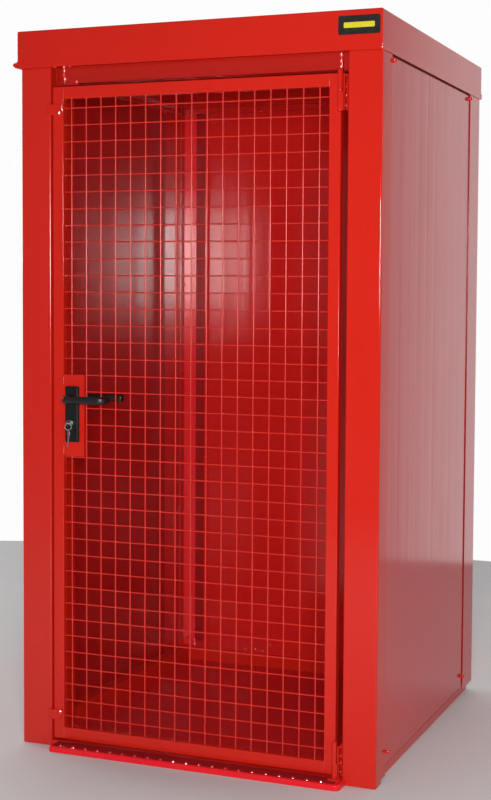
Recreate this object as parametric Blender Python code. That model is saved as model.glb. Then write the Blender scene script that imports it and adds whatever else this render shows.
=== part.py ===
# Gas cylinder cage: a red, powder-coated sheet-steel cabin with a welded-mesh door.
# Units are metres, +Z is up, the door faces -Y and +X is to the right of someone facing the door.
# The origin is on the ground, under the middle of the whole footprint.
import bpy
import bmesh
import math
from mathutils import Vector

for ob in list(bpy.data.objects):
    bpy.data.objects.remove(ob, do_unlink=True)

# ---------------------------------------------------------------- driving dimensions
GAP = 0.0003                 # clearance left between touching solids

BODY_HALF = 0.571            # outer faces of the posts, left and right
POST_W = 0.101               # front face of a front post
POST_SIDE = 0.089            # its outer side return
POST_INNER = 0.153           # its deep inner return, beside the doorway
POST_BACK = 0.024            # flange at the end of the inner return
POST_T = 0.003               # folded sheet of the posts
POST_R = 0.005               # fold radius
FRONT_Y = -0.013             # front face of the posts (y = 0 is the plane of the door's mesh)
REAR_Y = 1.122               # back face of the rear posts
REAR_SIDE = 0.134            # side face of a rear post
REAR_W = 0.110               # back face of a rear post
POST_TOP = 2.150
NOTCH_Z = 0.013

ROOF_HALF = 0.5745
ROOF_Y0, ROOF_Y1 = -0.031, 1.1290
ROOF_TOP = 2.176
FASCIA_LOW = 2.065
ROOF_T = 0.003
LIP_OUT = 0.0153             # drip lip along the left side of the roof
LIP_Z0, LIP_Z1 = 2.0655, 2.0825

WALL_OUT = 0.568             # outer plane of the side walls' ribs
WALL_T = 0.0025              # wall sheet
RIB_D = 0.0010               # depth of the pressed grooves
RIB_FLAT = 0.018
RIB_SLOPE = 0.008
RIB_PITCH = 0.0975
RIB_Y0 = 0.170               # first groove, behind the front posts
WALL_LOW = 0.043
WALL_HIGH = 2.150

RAIL_OUT = 0.557             # outer face of the base rails
RAIL_W = 0.040
RAIL_H = 0.050
RAIL_REAR = 1.102
REAR_RAIL_D = 0.012          # the rear base rail is a flat bar
FLOOR_T = 0.004
SILL_BACK = 0.140            # rear edge of the front cross rail

SILL_Y = -0.0705             # front edge of the threshold plate
SILL_Z = 0.018
SILL_X0, SILL_X1 = -0.449, 0.4800

DOOR_X0, DOOR_X1 = -0.4622, 0.4500
DOOR_Z0, DOOR_Z1 = 0.0264, 2.0078
DOOR_TUBE = 0.035            # width of the door's frame tube
DOOR_D = 0.025               # its depth
WIRE = 0.0046                # base width of a mesh wire
WIRE_H = 0.0042              # its height
PITCH_X = 0.0493
PITCH_Z = 0.0500
WIRE_X0 = -0.4044            # first vertical wire
WIRE_Z0 = 1.9445             # first horizontal wire
N_V, N_H = 17, 38

BOX_X0, BOX_X1 = DOOR_X0 + DOOR_TUBE, -0.3585     # lock box
BOX_Z0, BOX_Z1 = 0.8985, 1.1460

HINGE_X, HINGE_Y = 0.4505, -0.0220                # the door's vertical axis
BARREL_R = 0.0074
HT_Z = (1.8996, 1.9589, 2.0183)                   # top hinge: bottom, split, top
HB_Z = (0.0215, 0.0687, 0.1290)                   # bottom hinge, on a foot plate

SPINDLE_X, SPINDLE_Z = -0.3960, 1.0745            # lever's turning axis
LEVER_LEN = 0.142            # from that axis to the lever's far end
BAR_W, BAR_H = 0.0069, 0.0105                     # half thickness and half height of the lever's bar

HEAD_Z0, HEAD_Z1 = 2.0185, 2.0850
HEAD_Y0, HEAD_Y1 = 0.0030, 0.0430

# the footprint's middle goes to the origin
LEVER_Y = -0.0830                                 # foremost point of the lever
SX = -((-ROOF_HALF - LIP_OUT) + ROOF_HALF) / 2.0
SY = -(LEVER_Y + ROOF_Y1) / 2.0
OFF = Vector((SX, SY, 0.0))


# ---------------------------------------------------------------- materials
def material(name, rgb, rough, metal=0.0):
    m = bpy.data.materials.new(name)
    m.use_nodes = True
    b = m.node_tree.nodes["Principled BSDF"]
    b.inputs["Base Color"].default_value = (rgb[0], rgb[1], rgb[2], 1.0)
    b.inputs["Roughness"].default_value = rough
    b.inputs["Metallic"].default_value = metal
    m.diffuse_color = (rgb[0], rgb[1], rgb[2], 1.0)
    return m


RED = (0.62, 0.030, 0.016)
RED_DARK = (0.40, 0.018, 0.014)

def finish(ob, kind):
    if kind == "red":
        m = material(ob.name + "_paint", RED, 0.32)
    elif kind == "floor":
        m = material(ob.name + "_paint", RED_DARK, 0.42)
    elif kind == "black":
        m = material(ob.name + "_nylon", (0.012, 0.012, 0.013), 0.45)
    elif kind == "yellow":
        m = material(ob.name + "_enamel", (0.02, 0.02, 0.02), 0.35)
    else:
        m = material(ob.name + "_metal", (0.55, 0.55, 0.56), 0.30, 1.0)
    ob.data.materials.clear()
    ob.data.materials.append(m)


# ---------------------------------------------------------------- mesh helpers
def new_object(name, bm, kind, smooth=False, pivot=None):
    """Makes a named object from a bmesh built in design coordinates."""
    bmesh.ops.recalc_face_normals(bm, faces=bm.faces)
    bmesh.ops.triangulate(bm, faces=[f for f in bm.faces if len(f.verts) > 4])
    shift = OFF.copy()
    origin = Vector((0, 0, 0))
    if pivot is not None:
        origin = Vector(pivot) + OFF
    bmesh.ops.translate(bm, verts=bm.verts, vec=shift - origin)
    me = bpy.data.meshes.new(name)
    bm.to_mesh(me)
    bm.free()
    ob = bpy.data.objects.new(name, me)
    ob.location = origin
    bpy.context.scene.collection.objects.link(ob)
    if smooth:
        me.shade_smooth()
        me.set_sharp_from_angle(angle=math.radians(40))
    finish(ob, kind)
    return ob


def box_bm(x0, x1, y0, y1, z0, z1, bevel=0.0, segs=1):
    bm = bmesh.new()
    bmesh.ops.create_cube(bm, size=1.0)
    for v in bm.verts:
        v.co.x = x0 if v.co.x < 0 else x1
        v.co.y = y0 if v.co.y < 0 else y1
        v.co.z = z0 if v.co.z < 0 else z1
    if bevel > 0:
        bmesh.ops.bevel(bm, geom=list(bm.edges), offset=bevel, segments=segs,
                        profile=0.5, affect='EDGES')
    return bm


def box(name, x0, x1, y0, y1, z0, z1, kind="red", bevel=0.0, segs=1, pivot=None):
    return new_object(name, box_bm(x0, x1, y0, y1, z0, z1, bevel, segs), kind, pivot=pivot)


def prism_bm(pts, axis, a0, a1):
    """Extrudes the closed outline pts (2-D) along an axis from a0 to a1.
    axis Z: pts are (x, y); axis Y: (x, z); axis X: (y, z)."""
    bm = bmesh.new()
    def place(p, a):
        if axis == 'Z':
            return (p[0], p[1], a)
        if axis == 'Y':
            return (p[0], a, p[1])
        return (a, p[0], p[1])
    low = [bm.verts.new(place(p, a0)) for p in pts]
    high = [bm.verts.new(place(p, a1)) for p in pts]
    n = len(pts)
    bm.faces.new(low)
    bm.faces.new(list(reversed(high)))
    for i in range(n):
        j = (i + 1) % n
        bm.faces.new([low[i], high[i], high[j], low[j]])
    return bm


def prism(name, pts, axis, a0, a1, kind="red", smooth=False, pivot=None):
    return new_object(name, prism_bm(pts, axis, a0, a1), kind, smooth, pivot)


def arc(cx, cy, r, a0, a1, n):
    """Points on an arc, angles in degrees."""
    out = []
    for i in range(n + 1):
        a = math.radians(a0 + (a1 - a0) * i / n)
        out.append((cx + r * math.cos(a), cy + r * math.sin(a)))
    return out


def cyl_bm(cx, cy, z0, z1, r, n=20, axis='Z'):
    pts = arc(cx, cy, r, 0, 360 - 360.0 / n, n - 1)
    return prism_bm(pts, axis, z0, z1)


def boolean(bms, operation):
    """Joins the later shapes to the first one, or takes them away from it, exactly."""
    obs = []
    for i, bm in enumerate(bms):
        bmesh.ops.recalc_face_normals(bm, faces=bm.faces)
        me = bpy.data.meshes.new("tmp")
        bm.to_mesh(me)
        bm.free()
        ob = bpy.data.objects.new("tmp_%d" % i, me)
        bpy.context.scene.collection.objects.link(ob)
        obs.append(ob)
    base = obs[0]
    for other in obs[1:]:
        mod = base.modifiers.new("join", 'BOOLEAN')
        mod.operation = operation
        mod.solver = 'EXACT'
        mod.object = other
    bpy.context.view_layer.update()
    dg = bpy.context.evaluated_depsgraph_get()
    me = bpy.data.meshes.new_from_object(base.evaluated_get(dg))
    bm = bmesh.new()
    bm.from_mesh(me)
    bmesh.ops.dissolve_limit(bm, angle_limit=math.radians(0.5), verts=bm.verts, edges=bm.edges)
    for ob in obs:
        bpy.data.objects.remove(ob, do_unlink=True)
    return bm


def union(name, bms, kind="red", smooth=False, pivot=None):
    return new_object(name, boolean(bms, 'UNION'), kind, smooth, pivot)


# ---------------------------------------------------------------- base frame and floor
box("base_rail_left", -RAIL_OUT, -RAIL_OUT + RAIL_W, POST_SIDE + FRONT_Y + 0.001, RAIL_REAR,
    0.0, RAIL_H)
box("base_rail_right", RAIL_OUT - RAIL_W, RAIL_OUT, POST_SIDE + FRONT_Y + 0.001, RAIL_REAR,
    0.0, RAIL_H)
box("base_rail_rear", -RAIL_OUT + RAIL_W + GAP, RAIL_OUT - RAIL_W - GAP, RAIL_REAR - REAR_RAIL_D, RAIL_REAR,
    0.0, RAIL_H)
box("base_rail_front", -BODY_HALF + POST_W + GAP, BODY_HALF - POST_W - GAP, FRONT_Y, SILL_BACK,
    0.0, SILL_Z)
box("floor_plate", -RAIL_OUT + RAIL_W + GAP, RAIL_OUT - RAIL_W - GAP, SILL_BACK + GAP,
    RAIL_REAR - REAR_RAIL_D - GAP, 0.0, FLOOR_T, "floor")

# threshold: a folded tread plate in front of the door, with a rounded nose
nose = 0.006
sill = [(FRONT_Y - GAP, 0.0), (SILL_Y, 0.0)]
sill += [(SILL_Y, SILL_Z - nose)] + arc(SILL_Y + nose, SILL_Z - nose, nose, 157.5, 90, 3)
sill += [(FRONT_Y - GAP, SILL_Z)]
prism("threshold", sill, 'X', SILL_X0, SILL_X1)


# ---------------------------------------------------------------- posts
def c_profile(half, w, y0, side, inner, back, t, r):
    """Left front post in plan: outer side return, rounded front corner, front face,
    rounded corner, deep inner return, rounded corner, short flange at its end."""
    xo = -half
    xi = -half + w
    ye = y0 + inner
    pts = [(xo, y0 + side)]
    pts += [(xo, y0 + r)] + arc(xo + r, y0 + r, r, 202.5, 270, 3)
    pts += arc(xi - r, y0 + r, r, 270, 360, 4)
    pts += arc(xi - r, ye - r, r, 0, 90, 4)
    pts += [(xi - back, ye), (xi - back, ye - t), (xi - r, ye - t), (xi - t, ye - r),
            (xi - t, y0 + t + 0.001), (xi - t - 0.001, y0 + t),
            (xo + t + 0.001, y0 + t), (xo + t, y0 + t + 0.001), (xo + t, y0 + side)]
    return pts


def mirror(pts):
    return [(-p[0], p[1]) for p in reversed(pts)]


front = c_profile(BODY_HALF, POST_W, FRONT_Y, POST_SIDE, POST_INNER, POST_BACK, POST_T, POST_R)
for name, side in (("front_post_left", -1), ("front_post_right", 1)):
    plan = front if side < 0 else mirror(front)
    # the side return is notched above the ground
    xs = sorted((side * (BODY_HALF + 0.010), side * (BODY_HALF - POST_T - 0.0005)))
    notch = box_bm(xs[0], xs[1], FRONT_Y + 0.050, FRONT_Y + POST_SIDE + 0.010, -0.010, NOTCH_Z)
    new_object(name, boolean([prism_bm(plan, 'Z', 0.0, POST_TOP), notch], 'DIFFERENCE'), "red")

xo = -BODY_HALF
t = POST_T
r = POST_R
rear = [(xo, REAR_Y - REAR_SIDE), (xo + t, REAR_Y - REAR_SIDE), (xo + t, REAR_Y - t - 0.001),
        (xo + t + 0.001, REAR_Y - t), (xo + REAR_W, REAR_Y - t), (xo + REAR_W, REAR_Y)]
rear += [(xo + r, REAR_Y)] + arc(xo + r, REAR_Y - r, r, 112.5, 180, 3)
prism("rear_post_left", rear, 'Z', 0.030, POST_TOP)
prism("rear_post_right", mirror(rear), 'Z', 0.030, POST_TOP)


# ---------------------------------------------------------------- walls of ribbed sheet
def ribbed(a0, a1, first, b_out, sign, hem=0.0):
    """Outline of a sheet with shallow trapezoid grooves, running from a0 to a1.
    first is the first groove's centre, b_out the outer plane and sign the direction from the
    outside to the inside. hem is the depth of the folded edges, on the inside."""
    d, t = RIB_D, WALL_T
    outer = [(a0, 0.0)]
    c = first
    while c < a1 - 0.030:
        outer += [(c - RIB_FLAT / 2 - RIB_SLOPE, 0.0), (c - RIB_FLAT / 2, d), (c + RIB_FLAT / 2, d),
                  (c + RIB_FLAT / 2 + RIB_SLOPE, 0.0)]
        c += RIB_PITCH
    outer += [(a1, 0.0)]
    inner = [(p[0], p[1] + t) for p in outer]
    if hem > 0:
        w = 0.012
        inner = ([(a0, hem)] + [(a0 + w, hem), (a0 + w, t)] + inner[1:-1] +
                 [(a1 - w, t), (a1 - w, hem), (a1, hem)])
    return [(p[0], b_out + sign * p[1]) for p in outer + inner[::-1]]


WY0 = FRONT_Y + POST_SIDE + 0.0006
WY1 = REAR_Y - REAR_SIDE - 0.0006
left = [(p[1], p[0]) for p in ribbed(WY0, WY1, RIB_Y0, -WALL_OUT, +1)]
right = [(p[1], p[0]) for p in ribbed(WY0, WY1, RIB_Y0, WALL_OUT, -1)]
prism("side_wall_left", left, 'Z', WALL_LOW, WALL_HIGH)
prism("side_wall_right", right, 'Z', WALL_LOW, WALL_HIGH)
WX = BODY_HALF - REAR_W - 0.0006
back = ribbed(-WX, WX, -4 * RIB_PITCH, REAR_Y - 0.003, -1, 0.017)
prism("rear_wall", back, 'Z', WALL_LOW, WALL_HIGH)

# ---------------------------------------------------------------- head of the frame
HX = BODY_HALF - POST_W - GAP
head = [(-HX, HEAD_Y1), (-HX, HEAD_Y0 + 0.018), (-0.432, HEAD_Y0 + 0.018), (-0.432, HEAD_Y0),
        (0.447, HEAD_Y0), (0.447, HEAD_Y0 + 0.018), (HX, HEAD_Y0 + 0.018), (HX, HEAD_Y1)]
prism("door_header", head, 'Z', HEAD_Z0, HEAD_Z1)

# top rails under the roof: a box with a lip along its lower outer edge
TZ0, TZ1 = 2.072, 2.1725
LIP_D, LIP_H = 0.010, 0.020
IN_X = WALL_OUT - RIB_D - WALL_T - GAP
IN_Y = REAR_Y - 0.003 - 0.017 - GAP


def top_rail(out, inw, d=0.030):
    """Section from the wall's inner face inwards; inw is +1 or -1."""
    return [(out, TZ0 - LIP_H), (out + inw * LIP_D, TZ0 - LIP_H), (out + inw * LIP_D, TZ0),
            (out + inw * d, TZ0), (out + inw * d, TZ1), (out, TZ1)]


prism("top_rail_left", top_rail(-IN_X, +1), 'Y', FRONT_Y + POST_INNER + 0.001, IN_Y)
prism("top_rail_right", top_rail(IN_X, -1), 'Y', FRONT_Y + POST_INNER + 0.001, IN_Y)
prism("top_rail_rear", [(p[0], p[1]) for p in top_rail(IN_Y, -1)], 'X', -IN_X + 0.030 + GAP, IN_X - 0.030 - GAP)
box("top_rail_front", -BODY_HALF + POST_W + GAP, BODY_HALF - POST_W - GAP, HEAD_Y1 + 0.020, HEAD_Y1 + 0.050,
    2.120, TZ1)

# ---------------------------------------------------------------- roof
box("roof_sheet", -ROOF_HALF, ROOF_HALF, ROOF_Y0, ROOF_Y1, ROOF_TOP - ROOF_T, ROOF_TOP)
FZ = ROOF_TOP - ROOF_T - GAP
box("fascia_front", -ROOF_HALF, ROOF_HALF, ROOF_Y0, ROOF_Y0 + ROOF_T, FASCIA_LOW, FZ)
box("fascia_rear", -ROOF_HALF, ROOF_HALF, ROOF_Y1 - ROOF_T, ROOF_Y1, FASCIA_LOW, FZ)
box("fascia_left", -ROOF_HALF, -ROOF_HALF + ROOF_T, ROOF_Y0 + ROOF_T + GAP, ROOF_Y1 - ROOF_T - GAP,
    FASCIA_LOW, FZ)
box("fascia_right", ROOF_HALF - ROOF_T, ROOF_HALF, ROOF_Y0 + ROOF_T + GAP, ROOF_Y1 - ROOF_T - GAP,
    FASCIA_LOW, FZ)
lx = -ROOF_HALF - GAP
lip = [(lx, LIP_Z1), (lx - LIP_OUT + 0.004, LIP_Z1 - 0.001)]
lip += arc(lx - LIP_OUT + GAP + 0.006, LIP_Z1 - 0.0075, 0.006, 130, 230, 4)
lip += [(lx, LIP_Z0)]
prism("roof_drip_lip", lip, 'Y', ROOF_Y0, ROOF_Y1)

# plain sign plate at the right end of the front fascia
box("sign_plate", 0.4463, 0.5677, ROOF_Y0 - GAP - 0.0012, ROOF_Y0 - GAP, 2.1073, 2.1590, "yellow")

# ---------------------------------------------------------------- door
DY0 = FRONT_Y
DY1 = FRONT_Y + DOOR_D
AXIS = (HINGE_X, HINGE_Y, 0.0)


def tube_box(name, x0, x1, z0, z1):
    bm = box_bm(x0, x1, DY0, DY1, z0, z1)
    return new_object(name, bm, "red", pivot=AXIS)


tube_box("door_stile_left", DOOR_X0, DOOR_X0 + DOOR_TUBE, DOOR_Z0, DOOR_Z1)
tube_box("door_stile_right", DOOR_X1 - DOOR_TUBE, DOOR_X1, DOOR_Z0, DOOR_Z1)
tube_box("door_rail_top", DOOR_X0 + DOOR_TUBE + GAP, DOOR_X1 - DOOR_TUBE - GAP, DOOR_Z1 - 0.0365, DOOR_Z1)
tube_box("door_rail_bottom", DOOR_X0 + DOOR_TUBE + GAP, DOOR_X1 - DOOR_TUBE - GAP, DOOR_Z0, DOOR_Z0 + 0.0365)

MX0 = DOOR_X0 + DOOR_TUBE + GAP
MX1 = DOOR_X1 - DOOR_TUBE - GAP
MZ0 = DOOR_Z0 + 0.0365 + GAP
MZ1 = DOOR_Z1 - 0.0365 - GAP
XS = [WIRE_X0 + i * PITCH_X for i in range(N_V)]
ZS = [WIRE_Z0 - j * PITCH_Z for j in range(N_H)]


def mesh_panel(name, rows, z_top, z_bot, hole=None):
    """Welded mesh between two heights. Each wire has a three-sided section: its flat side
    lies at the back and its ridge points forward. Wires share their corner points where
    they cross, so a panel is one closed solid. hole is an area without wires."""
    bm = bmesh.new()
    h = WIRE / 2.0
    yb, yf = WIRE_H / 2.0, -WIRE_H / 2.0
    zs = [ZS[j] for j in rows]
    nx, nz = len(XS), len(zs)
    ax = [MX0] + XS + [MX1]
    az = [z_top] + zs + [z_bot]

    def gone(x, z):
        return hole is not None and x < hole[0] and hole[1] < z < hole[2]

    cache = {}

    def vert(key, co):
        if key not in cache:
            cache[key] = bm.verts.new(co)
        return cache[key]

    # ridge point and four back corners of each crossing
    def ridge(i, j):
        return vert(('r', i, j), (XS[i], yf, zs[j]))

    def corner(i, j, sx, sz):
        return vert(('c', i, j, sx, sz), (XS[i] + sx * h, yb, zs[j] + sz * h))

    def present_node(i, j):
        return not gone(XS[i], zs[j])

    # vertical and horizontal segments
    def end_v(i, j, z, sz):
        return (vert(('ev', i, j, sz, 0), (XS[i], yf, z)),
                vert(('ev', i, j, sz, -1), (XS[i] - h, yb, z)),
                vert(('ev', i, j, sz, 1), (XS[i] + h, yb, z)))

    def end_h(i, j, x, sx):
        return (vert(('eh', i, j, sx, 0), (x, yf, zs[j])),
                vert(('eh', i, j, sx, -1), (x, yb, zs[j] - h)),
                vert(('eh', i, j, sx, 1), (x, yb, zs[j] + h)))

    def seg_v(top, bot):
        # each is (ridge, left back, right back)
        bm.faces.new([top[0], bot[0], bot[1], top[1]])
        bm.faces.new([top[2], bot[2], bot[0], top[0]])
        bm.faces.new([top[1], bot[1], bot[2], top[2]])

    def seg_h(lt, rt):
        # each is (ridge, lower back, upper back)
        bm.faces.new([lt[0], lt[1], rt[1], rt[0]])
        bm.faces.new([lt[2], lt[0], rt[0], rt[2]])
        bm.faces.new([lt[1], lt[2], rt[2], rt[1]])

    for i in range(nx):
        for j in range(nz):
            if not present_node(i, j):
                continue
            # back of the crossing
            bm.faces.new([corner(i, j, -1, 1), corner(i, j, 1, 1), corner(i, j, 1, -1), corner(i, j, -1, -1)])
            # upwards
            up = (ridge(i, j), corner(i, j, -1, 1), corner(i, j, 1, 1))
            dn = (ridge(i, j), corner(i, j, -1, -1), corner(i, j, 1, -1))
            lf = (ridge(i, j), corner(i, j, -1, -1), corner(i, j, -1, 1))
            rg = (ridge(i, j), corner(i, j, 1, -1), corner(i, j, 1, 1))
            # up
            if j == 0 or not present_node(i, j - 1):
                z = z_top if j == 0 else hole[1] - GAP
                e = end_v(i, j, z, 1)
                seg_v(e, up)
                bm.faces.new([e[0], e[1], e[2]])
            # down
            if j == nz - 1 or not present_node(i, j + 1):
                z = z_bot if j == nz - 1 else hole[2] + GAP
                e = end_v(i, j, z, -1)
                seg_v(dn, e)
                bm.faces.new([e[0], e[2], e[1]])
            else:
                nxt = (ridge(i, j + 1), corner(i, j + 1, -1, 1), corner(i, j + 1, 1, 1))
                seg_v(dn, nxt)
            # left
            if i == 0 or not present_node(i - 1, j):
                x = MX0 if i == 0 else hole[0] + GAP
                e = end_h(i, j, x, -1)
                seg_h(e, lf)
                bm.faces.new([e[0], e[2], e[1]])
            # right
            if i == nx - 1:
                e = end_h(i, j, MX1, 1)
                seg_h(rg, e)
                bm.faces.new([e[0], e[1], e[2]])
            else:
                nxt = (ridge(i + 1, j), corner(i + 1, j, -1, -1), corner(i + 1, j, -1, 1))
                seg_h(rg, nxt)
    return new_object(name, bm, "red", pivot=AXIS)


CUT1 = (ZS[12] + ZS[13]) / 2.0
CUT2 = (ZS[25] + ZS[26]) / 2.0
LOCK_HOLE = (BOX_X1, BOX_Z0 - 0.0026, BOX_Z1 + 0.0026)
mesh_panel("door_mesh_upper", range(0, 13), MZ1, CUT1 + GAP / 2)
mesh_panel("door_mesh_middle", range(13, 26), CUT1 - GAP / 2, CUT2 + GAP / 2, LOCK_HOLE)
mesh_panel("door_mesh_lower", range(26, 38), CUT2 - GAP / 2, MZ0)

# lock box welded between the stile and the mesh
box("lock_box", BOX_X0 + GAP, BOX_X1, DY0, DY1, BOX_Z0, BOX_Z1, pivot=AXIS)


def plate_outline(cx, z0, z1, w, r):
    pts = arc(cx + w / 2 - r, z1 - r, r, 0, 90, 4)
    pts += arc(cx - w / 2 + r, z1 - r, r, 90, 180, 4)
    pts += arc(cx - w / 2 + r, z0 + r, r, 180, 270, 4)
    pts += arc(cx + w / 2 - r, z0 + r, r, 270, 360, 4)
    return pts


ESC_Z0, ESC_Z1 = 0.9420, 1.1110
ESC_T = 0.009
CYL_Z = 1.0010
esc = plate_outline(SPINDLE_X, ESC_Z0, ESC_Z1, 0.046, 0.010)


def esc_solid(name, y0, y1):
    """Escutcheon with a round hole for the lever's neck and a round hole for the cylinder."""
    holes = [cyl_bm(SPINDLE_X, z, y0 - 0.01, y1 + 0.01, rr, 16, 'Y')
             for (z, rr) in ((SPINDLE_Z, 0.0108), (CYL_Z, 0.0093))]
    return new_object(name, boolean([prism_bm(esc, 'Y', y0, y1)] + holes, 'DIFFERENCE'), "black", pivot=AXIS)


esc_solid("escutcheon_outer", DY0 - GAP - ESC_T, DY0 - GAP)
esc_solid("escutcheon_inner", DY1 + GAP, DY1 + GAP + ESC_T)

# lock cylinder ends, in the lower holes of the escutcheons
new_object("lock_cylinder_outer", cyl_bm(SPINDLE_X, CYL_Z, DY0 - GAP - ESC_T - 0.004, DY0 - GAP, 0.0085, 16, 'Y'),
           "steel", pivot=AXIS)
new_object("lock_cylinder_inner", cyl_bm(SPINDLE_X, CYL_Z, DY1 + GAP, DY1 + GAP + ESC_T + 0.004, 0.0085, 16, 'Y'),
           "steel", pivot=AXIS)

# hinges: the lower half barrels and their brackets are on the post, the upper half barrels on the door
BR_X0 = HINGE_X + BARREL_R + 0.0026
BR_X1 = BODY_HALF - POST_W - GAP


def post_hinge(name, z0, z1, zb0, zb1, *more):
    barrel = cyl_bm(HINGE_X, HINGE_Y, z0, z1 - 0.0004, BARREL_R, 16)
    arm = box_bm(HINGE_X + 0.002, BR_X0 + 0.003, HINGE_Y - 0.0035, HINGE_Y + 0.0035, z0 + 0.004, z1 - 0.006)
    plate = box_bm(BR_X0, BR_X0 + 0.0036, HINGE_Y - 0.0035, FRONT_Y + 0.030, zb0, zb1)
    # the plate is welded to a recessed bar beside the post
    bar = box_bm(BR_X0 + 0.003, BR_X1, FRONT_Y + 0.012, FRONT_Y + 0.0295, zb0 + 0.0005, zb1 - 0.0005)
    return union(name, [barrel, arm, plate, bar] + list(more))


post_hinge("hinge_top_post", HT_Z[0], HT_Z[1], 1.9050, 2.0050)
post_hinge("hinge_bottom_post", HB_Z[0], HB_Z[1], HB_Z[0], 0.1150,
           box_bm(HINGE_X - 0.015, BR_X1, HINGE_Y - 0.017, HINGE_Y + 0.0075, SILL_Z + GAP, HB_Z[0] + 0.001))


def door_hinge(name, z0, z1):
    r = BARREL_R
    bm = bmesh.new()
    n = 16
    prof = [(r, z0), (r, z1 - 0.007), (r * 0.72, z1 - 0.0015), (r * 0.35, z1)]
    rings = []
    for (rr, z) in prof:
        rings.append([bm.verts.new((HINGE_X + rr * math.cos(2 * math.pi * k / n),
                                    HINGE_Y + rr * math.sin(2 * math.pi * k / n), z)) for k in range(n)])
    for a, b in zip(rings[:-1], rings[1:]):
        for k in range(n):
            bm.faces.new([a[k], a[(k + 1) % n], b[(k + 1) % n], b[k]])
    bm.faces.new(list(reversed(rings[0])))
    bm.faces.new(rings[-1])
    bmesh.ops.triangulate(bm, faces=[f for f in bm.faces if len(f.verts) > 4])
    leaf = box_bm(HINGE_X - 0.0062, HINGE_X - 0.0008, HINGE_Y, DY0 - GAP, z0 + 0.006, z1 - 0.012)
    return union(name, [bm, leaf], pivot=AXIS)


door_hinge("hinge_top_door", HT_Z[1] + 0.0004, HT_Z[2])
door_hinge("hinge_bottom_door", HB_Z[1] + 0.0004, HB_Z[2])


# stop lugs: cranked plates on the free stile that reach over the post's edge
def lug(name, zc):
    x0 = DOOR_X0 - 0.0150
    x1 = DOOR_X0 + 0.0260
    y0 = DY0 - GAP
    s = 0.0052
    tt = 0.0035
    pts = [(x1, y0), (x1, y0 - tt), (DOOR_X0 + 0.006, y0 - tt), (DOOR_X0 - 0.001, y0 - tt - s),
           (x0, y0 - tt - s), (x0, y0 - s), (DOOR_X0 + 0.001, y0 - s), (DOOR_X0 + 0.008, y0)]
    prism(name, pts, 'Z', zc - 0.0155, zc + 0.0155, pivot=AXIS)


lug("stop_lug_upper", 1.9395)
lug("stop_lug_lower", 0.1005)

# ---------------------------------------------------------------- lever handle, turns on the spindle
PIV = (SPINDLE_X, 0.0, SPINDLE_Z)


def lever(name, side):
    """side -1: outside, +1: inside. A round neck, then a bar bent like a U that lies level,
    points to the right and ends in a return towards the door."""
    face = (DY0 - GAP - ESC_T) if side < 0 else (DY1 + GAP + ESC_T)
    tip_y = LEVER_Y if side < 0 else face + 0.0480
    out = abs(tip_y - face) - BAR_W
    y_in = face - side * (ESC_T - 0.0005)
    rb, re = 0.0155, 0.0175
    xe = LEVER_LEN - BAR_W - re
    y_neck = face + side * (out - rb + 0.002)
    neck = cyl_bm(SPINDLE_X, SPINDLE_Z, min(y_in, y_neck), max(y_in, y_neck), 0.0096, 16, 'Y')
    uv = [(-BAR_W, out - rb - 0.004)] + arc(rb, out - rb, rb + BAR_W, 180, 90, 6)
    uv += arc(xe, out - re, re + BAR_W, 90, 0, 6) + [(xe + re + BAR_W, out - re - 0.0165)]
    uv += [(xe + re - BAR_W, out - re - 0.0165)] + arc(xe, out - re, re - BAR_W, 0, 90, 5)
    uv += arc(rb, out - rb, rb - BAR_W, 90, 180, 5) + [(BAR_W, out - rb - 0.004)]
    pts = [(SPINDLE_X + u, face + side * v) for u, v in uv]
    bar = prism_bm(pts, 'Z', SPINDLE_Z - BAR_H, SPINDLE_Z + BAR_H)
    return union(name, [neck, bar], "black", pivot=PIV)


lever("lever_outer", -1)
lever("lever_inner", +1)
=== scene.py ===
import bpy
import bmesh
import math
import random
from mathutils import Matrix, Vector, noise


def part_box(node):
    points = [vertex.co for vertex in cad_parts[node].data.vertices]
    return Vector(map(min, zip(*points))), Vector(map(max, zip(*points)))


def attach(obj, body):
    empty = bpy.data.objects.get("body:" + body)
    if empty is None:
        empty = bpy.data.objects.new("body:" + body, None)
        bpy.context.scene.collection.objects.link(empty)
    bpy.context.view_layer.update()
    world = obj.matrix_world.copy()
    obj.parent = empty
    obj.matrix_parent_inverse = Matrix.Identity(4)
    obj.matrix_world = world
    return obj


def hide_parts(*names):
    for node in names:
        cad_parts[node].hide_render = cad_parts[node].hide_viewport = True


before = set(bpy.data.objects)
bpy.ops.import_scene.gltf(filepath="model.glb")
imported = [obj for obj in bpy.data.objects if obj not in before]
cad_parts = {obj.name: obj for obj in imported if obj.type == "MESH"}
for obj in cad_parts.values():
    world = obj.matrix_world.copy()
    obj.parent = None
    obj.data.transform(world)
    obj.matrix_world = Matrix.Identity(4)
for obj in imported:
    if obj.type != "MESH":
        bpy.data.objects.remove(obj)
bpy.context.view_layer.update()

ROOF_Y0 = -0.031
_lo, _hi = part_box("roof_sheet")
OFF = Vector(((_lo.x + _hi.x) / 2.0, _lo.y - ROOF_Y0, 0.0))

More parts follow.
